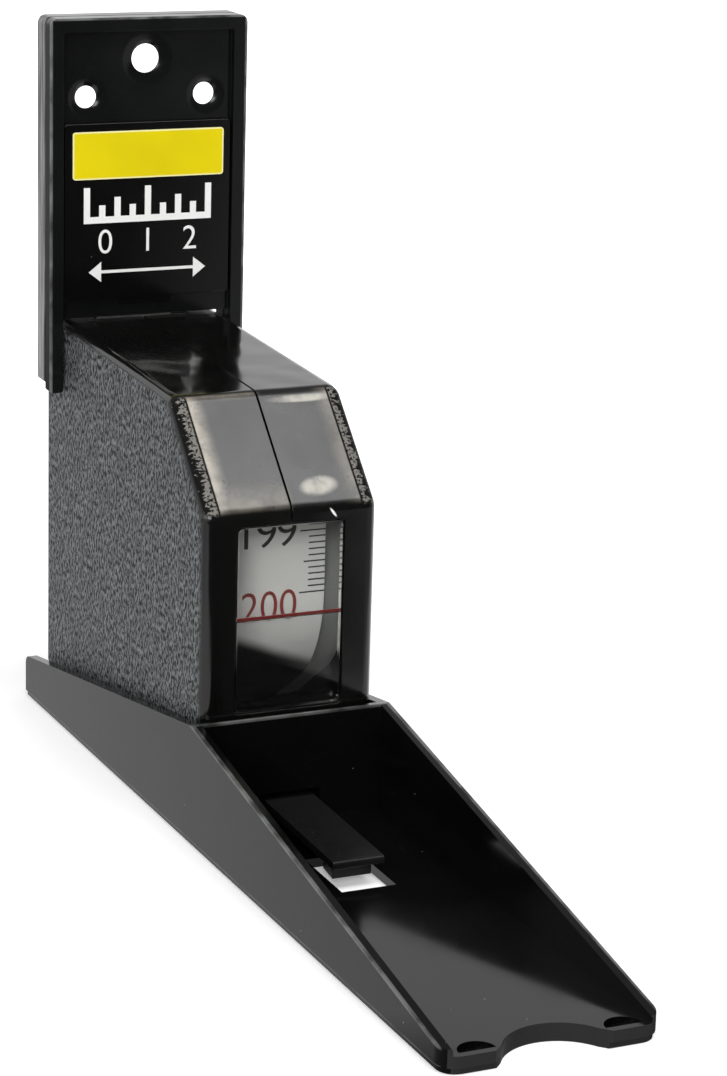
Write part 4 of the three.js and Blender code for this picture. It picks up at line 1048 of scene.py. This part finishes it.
def printed_shape(name, outlines, body, material):
    bm = bmesh.new()
    for outline in outlines:
        corners = [bm.verts.new((x, LABEL_FACE - PRINT_LIFT, z)) for x, z in outline]
        bm.faces.new(corners)
    bmesh.ops.recalc_face_normals(bm, faces=bm.faces)
    for face in bm.faces:
        if face.normal.y > 0:
            face.normal_flip()
    extruded = bmesh.ops.extrude_face_region(bm, geom=list(bm.faces))
    moved = [g for g in extruded["geom"] if isinstance(g, bmesh.types.BMVert)]
    bmesh.ops.translate(bm, verts=moved, vec=(0, -PRINT_THICKNESS, 0))
    bmesh.ops.recalc_face_normals(bm, faces=bm.faces)
    obj = object_from(bm, name, body)
    obj.data.materials.append(material)
    return obj


def bar(x, low, high, width):
    return [(x - width / 2, low), (x + width / 2, low), (x + width / 2, high), (x - width / 2, high)]


def scale_marks():
    outlines = [
        [
            (-SCALE_HALF_WIDTH, SCALE_BOTTOM),
            (SCALE_HALF_WIDTH, SCALE_BOTTOM),
            (SCALE_HALF_WIDTH, SCALE_BOTTOM + SCALE_TICK_WIDTH),
            (-SCALE_HALF_WIDTH, SCALE_BOTTOM + SCALE_TICK_WIDTH),
        ]
    ]
    step = (2 * SCALE_HALF_WIDTH - SCALE_TICK_WIDTH) / (SCALE_TICKS - 1)
    for index in range(SCALE_TICKS):
        x = -SCALE_HALF_WIDTH + SCALE_TICK_WIDTH / 2 + index * step
        share = SHORT_TICK_SHARE
        if index % 2 == 0:
            share = MIDDLE_TICK_SHARE
        if index % 4 == 0:
            share = 1
        top = SCALE_BOTTOM + (SCALE_TOP - SCALE_BOTTOM) * share
        outlines.append(bar(x, SCALE_BOTTOM + SCALE_TICK_WIDTH, top, SCALE_TICK_WIDTH))
    return outlines


def arrow_marks():
    tip = ARROW_HALF_WIDTH
    neck = tip - ARROW_HEAD_LENGTH
    half = ARROW_LINE / 2
    return [
        [
            (-tip, ARROW_ROW),
            (-neck, ARROW_ROW - ARROW_HEAD),
            (-neck, ARROW_ROW - half),
            (neck, ARROW_ROW - half),
            (neck, ARROW_ROW - ARROW_HEAD),
            (tip, ARROW_ROW),
            (neck, ARROW_ROW + ARROW_HEAD),
            (neck, ARROW_ROW + half),
            (-neck, ARROW_ROW + half),
            (-neck, ARROW_ROW + ARROW_HEAD),
        ]
    ]


printed_shape("label_scale", scale_marks(), "bracket", WHITE_INK)
printed_shape("label_arrow", arrow_marks(), "bracket", WHITE_INK)
printed_text(
    "label_figures",
    "0   1   2",
    FIGURE_ROW_HEIGHT,
    FIGURE_ROW_WIDTH,
    (0, FIGURE_ROW),
    LABEL_FACE,
    "bracket",
    WHITE_INK,
)
print("label marks ready")

# %% [markdown]
# The photograph's camera stands to the left of the part, a little above it, with a long lens. It
# could be placed by eye, but then no length in the picture could be compared with the photograph. So
# its place and two of its directions were worked out from points that can be measured on the part,
# and the third direction follows from them.

# %% Camera
FOCAL_PIXELS = 3200
IMAGE_HEIGHT_PIXELS = 1076
SENSOR_HEIGHT = 36.0
NEAREST_SEEN = 10.0 * MM
CAMERA_PLACE = Vector((-186.8, -506.1, 181.0)) * MM + Vector((0, WALL, 0))
CAMERA_RIGHT = Vector((0.91134, -0.41071, 0.02787))
CAMERA_UP = Vector((0.08798, 0.26047, 0.96147))

camera_data = bpy.data.cameras.new("camera")
camera_data.sensor_fit = "VERTICAL"
camera_data.sensor_height = SENSOR_HEIGHT
camera_data.lens = FOCAL_PIXELS * SENSOR_HEIGHT / IMAGE_HEIGHT_PIXELS
camera_data.clip_start = NEAREST_SEEN
camera = bpy.data.objects.new("camera", camera_data)
bpy.context.scene.collection.objects.link(camera)
backward = CAMERA_RIGHT.cross(CAMERA_UP).normalized()
upward = backward.cross(CAMERA_RIGHT.normalized()).normalized()
turn = Matrix((CAMERA_RIGHT.normalized(), upward, backward)).transposed()
camera.matrix_world = Matrix.Translation(CAMERA_PLACE) @ turn.to_4x4()
bpy.context.scene.camera = camera
print("lens, mm:", round(camera_data.lens, 1))

# %% [markdown]
# The part stands on white paper in a bright room. Both could be plain white, but black gloss mirrors
# what is round it, and its dark faces need a darker room. So rays are told apart: the camera sees
# plain white, gloss and glass see a room that is darker overhead and on the camera's side, and plain
# surfaces get a softer level. The paper does the same: it is lifted towards white for the camera, and
# in gloss it is darker in front, at the right and far left. The lamps are large and far off, so that
# the tape is lit evenly when it is drawn out. Sizes and places are in metres here.

# %% Room, floor and lamps
FLOOR_SIZE = 4.0
FLOOR_DROP = 0.05 * MM
ROOM_LEVEL = 0.45
UPPER_ROOM_LEVEL = 0.3
FRONT_ROOM_LEVEL = 0.06
FRONT_ROOM_START = 0.25
FRONT_ROOM_END = 0.75
UPPER_ROOM_START = 0.48
UPPER_ROOM_END = 0.66
FRONT_FLOOR_LEVEL = 0.05
RIGHT_FLOOR_LEVEL = 0.4
LEFT_FLOOR_LEVEL = 0.7
FLOOR_LIFT = 0.3
NEAR_FLOOR = 0.1
FAR_FLOOR = 0.45
CAMERA_SIDE = (0.35, -0.93, 0.0)
RIGHT_SIDE = (1.0, 0.46, 0.0)
FRONT_FLOOR_START = 0.05
FRONT_FLOOR_END = 0.075
RIGHT_FLOOR_START = -0.005
RIGHT_FLOOR_END = 0.04
LEFT_FLOOR_START = -0.11
LEFT_FLOOR_END = -0.18
LAMP_HEIGHT = 4.26
LAMP_SIZE = 1.7
SIDE_LAMP_SIZE = 2.5
LAMP_LEFT_PLACE = (0.25, -1.46, LAMP_HEIGHT)
LAMP_RIGHT_PLACE = (2.05, -1.31, LAMP_HEIGHT)
SIDE_LAMP_PLACE = (-4.5, -1.25, 2.13)
FRONT_LAMP_PLACE = (-2.5, -3.5, 2.38)
LAMP_LEFT_WATTS = 80
LAMP_RIGHT_WATTS = 54
SIDE_LAMP_WATTS = 37
FRONT_LAMP_WATTS = 120
AIM_HEIGHT = 0.03


def room():
    world = bpy.data.worlds.new("bright_room")
    add = empty_tree(world)
    direction = add("TexCoord").outputs["Generated"]
    height = add("SeparateXYZ", direction).outputs["Z"]
    forward = add("VectorMath", direction, CAMERA_SIDE, operation="DOT_PRODUCT")
    fade = (FRONT_ROOM_START, FRONT_ROOM_END, 1.0, FRONT_ROOM_LEVEL)
    front = add("MapRange", forward, *fade, **SOFT)
    fade = (UPPER_ROOM_START, UPPER_ROOM_END, 1.0, UPPER_ROOM_LEVEL)
    upper = add("MapRange", height, *fade, **SOFT)
    mirrored = add("Math", front, upper, operation="MULTIPLY")
    diffuse = add("Math", front, ROOM_LEVEL, operation="MULTIPLY")
    rays = add("LightPath")
    gloss = rays.outputs["Is Glossy Ray"]
    seen = add("Math", gloss, rays.outputs["Is Transmission Ray"], operation="MAXIMUM")
    difference = add("Math", mirrored, diffuse, operation="SUBTRACT")
    level = add("Math", difference, seen, diffuse, operation="MULTIPLY_ADD")
    strength = add("Math", level, rays.outputs["Is Camera Ray"], operation="MAXIMUM")
    add("OutputWorld", add("Background", linear("#ffffff"), strength))
    bpy.context.scene.world = world


def mirrored_paper(add, place):
    axes = add("SeparateXYZ", place)
    forward = add("VectorMath", place, CAMERA_SIDE, operation="DOT_PRODUCT")
    right = add("VectorMath", place, RIGHT_SIDE, operation="DOT_PRODUCT")
    levels = (FRONT_FLOOR_LEVEL, RIGHT_FLOOR_LEVEL)
    front = add("MapRange", right, RIGHT_FLOOR_START, RIGHT_FLOOR_END, *levels)
    nearby = add("MapRange", forward, FRONT_FLOOR_START, FRONT_FLOOR_END)
    darker = add("Math", front, 1.0, operation="SUBTRACT")
    ahead = add("Math", darker, nearby, 1.0, operation="MULTIPLY_ADD")
    fade = (LEFT_FLOOR_START, LEFT_FLOOR_END, 1.0, LEFT_FLOOR_LEVEL)
    left = add("MapRange", axes.outputs["X"], *fade)
    level = add("Math", ahead, left, operation="MULTIPLY")
    return add("Emission", linear("#ffffff"), level)


def white_paper():
    material, add, shader, place = new_material("white_paper")
    rays = add("LightPath")
    shader.inputs["Base Color"].default_value = linear("#f0f0f0")
    shader.inputs["Roughness"].default_value = 0.9
    shader.inputs["Specular IOR Level"].default_value = 0.0
    shader.inputs["Emission Color"].default_value = linear("#ffffff")
    away = add("VectorMath", place, operation="LENGTH")
    glow = add("MapRange", away, NEAR_FLOOR, FAR_FLOOR, FLOOR_LIFT, 1.0)
    lift = add("Math", rays.outputs["Is Camera Ray"], glow, operation="MULTIPLY")
    set_input(shader.inputs["Emission Strength"], lift)
    in_gloss = rays.outputs["Is Glossy Ray"]
    mixed = add("MixShader", in_gloss, shader, mirrored_paper(add, place))
    add("OutputMaterial", mixed)
    return material


def white_floor():
    bm = bmesh.new()
    bmesh.ops.create_grid(bm, x_segments=1, y_segments=1, size=FLOOR_SIZE / 2)
    bmesh.ops.translate(bm, verts=bm.verts, vec=(0, 0, -FLOOR_DROP))
    mesh = bpy.data.meshes.new("floor")
    bm.to_mesh(mesh)
    bm.free()
    floor = bpy.data.objects.new("floor", mesh)
    bpy.context.scene.collection.objects.link(floor)
    mesh.materials.append(white_paper())


def soft_lamp(name, place, target, size, watts):
    data = bpy.data.lights.new(name, "AREA")
    data.shape = "SQUARE"
    data.size = size
    data.energy = watts
    lamp = bpy.data.objects.new(name, data)
    lamp.location = place
    lamp.rotation_euler = (Vector(target) - Vector(place)).to_track_quat("-Z", "Y").to_euler()
    bpy.context.scene.collection.objects.link(lamp)


room()
white_floor()
under_left = (LAMP_LEFT_PLACE[0], LAMP_LEFT_PLACE[1], 0)
under_right = (LAMP_RIGHT_PLACE[0], LAMP_RIGHT_PLACE[1], 0)
part_middle = (0, 0, AIM_HEIGHT)
soft_lamp("lamp_above_left", LAMP_LEFT_PLACE, under_left, LAMP_SIZE, LAMP_LEFT_WATTS)
soft_lamp("lamp_above_right", LAMP_RIGHT_PLACE, under_right, LAMP_SIZE, LAMP_RIGHT_WATTS)
soft_lamp("lamp_left", SIDE_LAMP_PLACE, part_middle, SIDE_LAMP_SIZE, SIDE_LAMP_WATTS)
soft_lamp("lamp_front_left", FRONT_LAMP_PLACE, part_middle, SIDE_LAMP_SIZE, FRONT_LAMP_WATTS)
bpy.context.scene.view_settings.view_transform = "Standard"
print("room, floor and lamps ready")
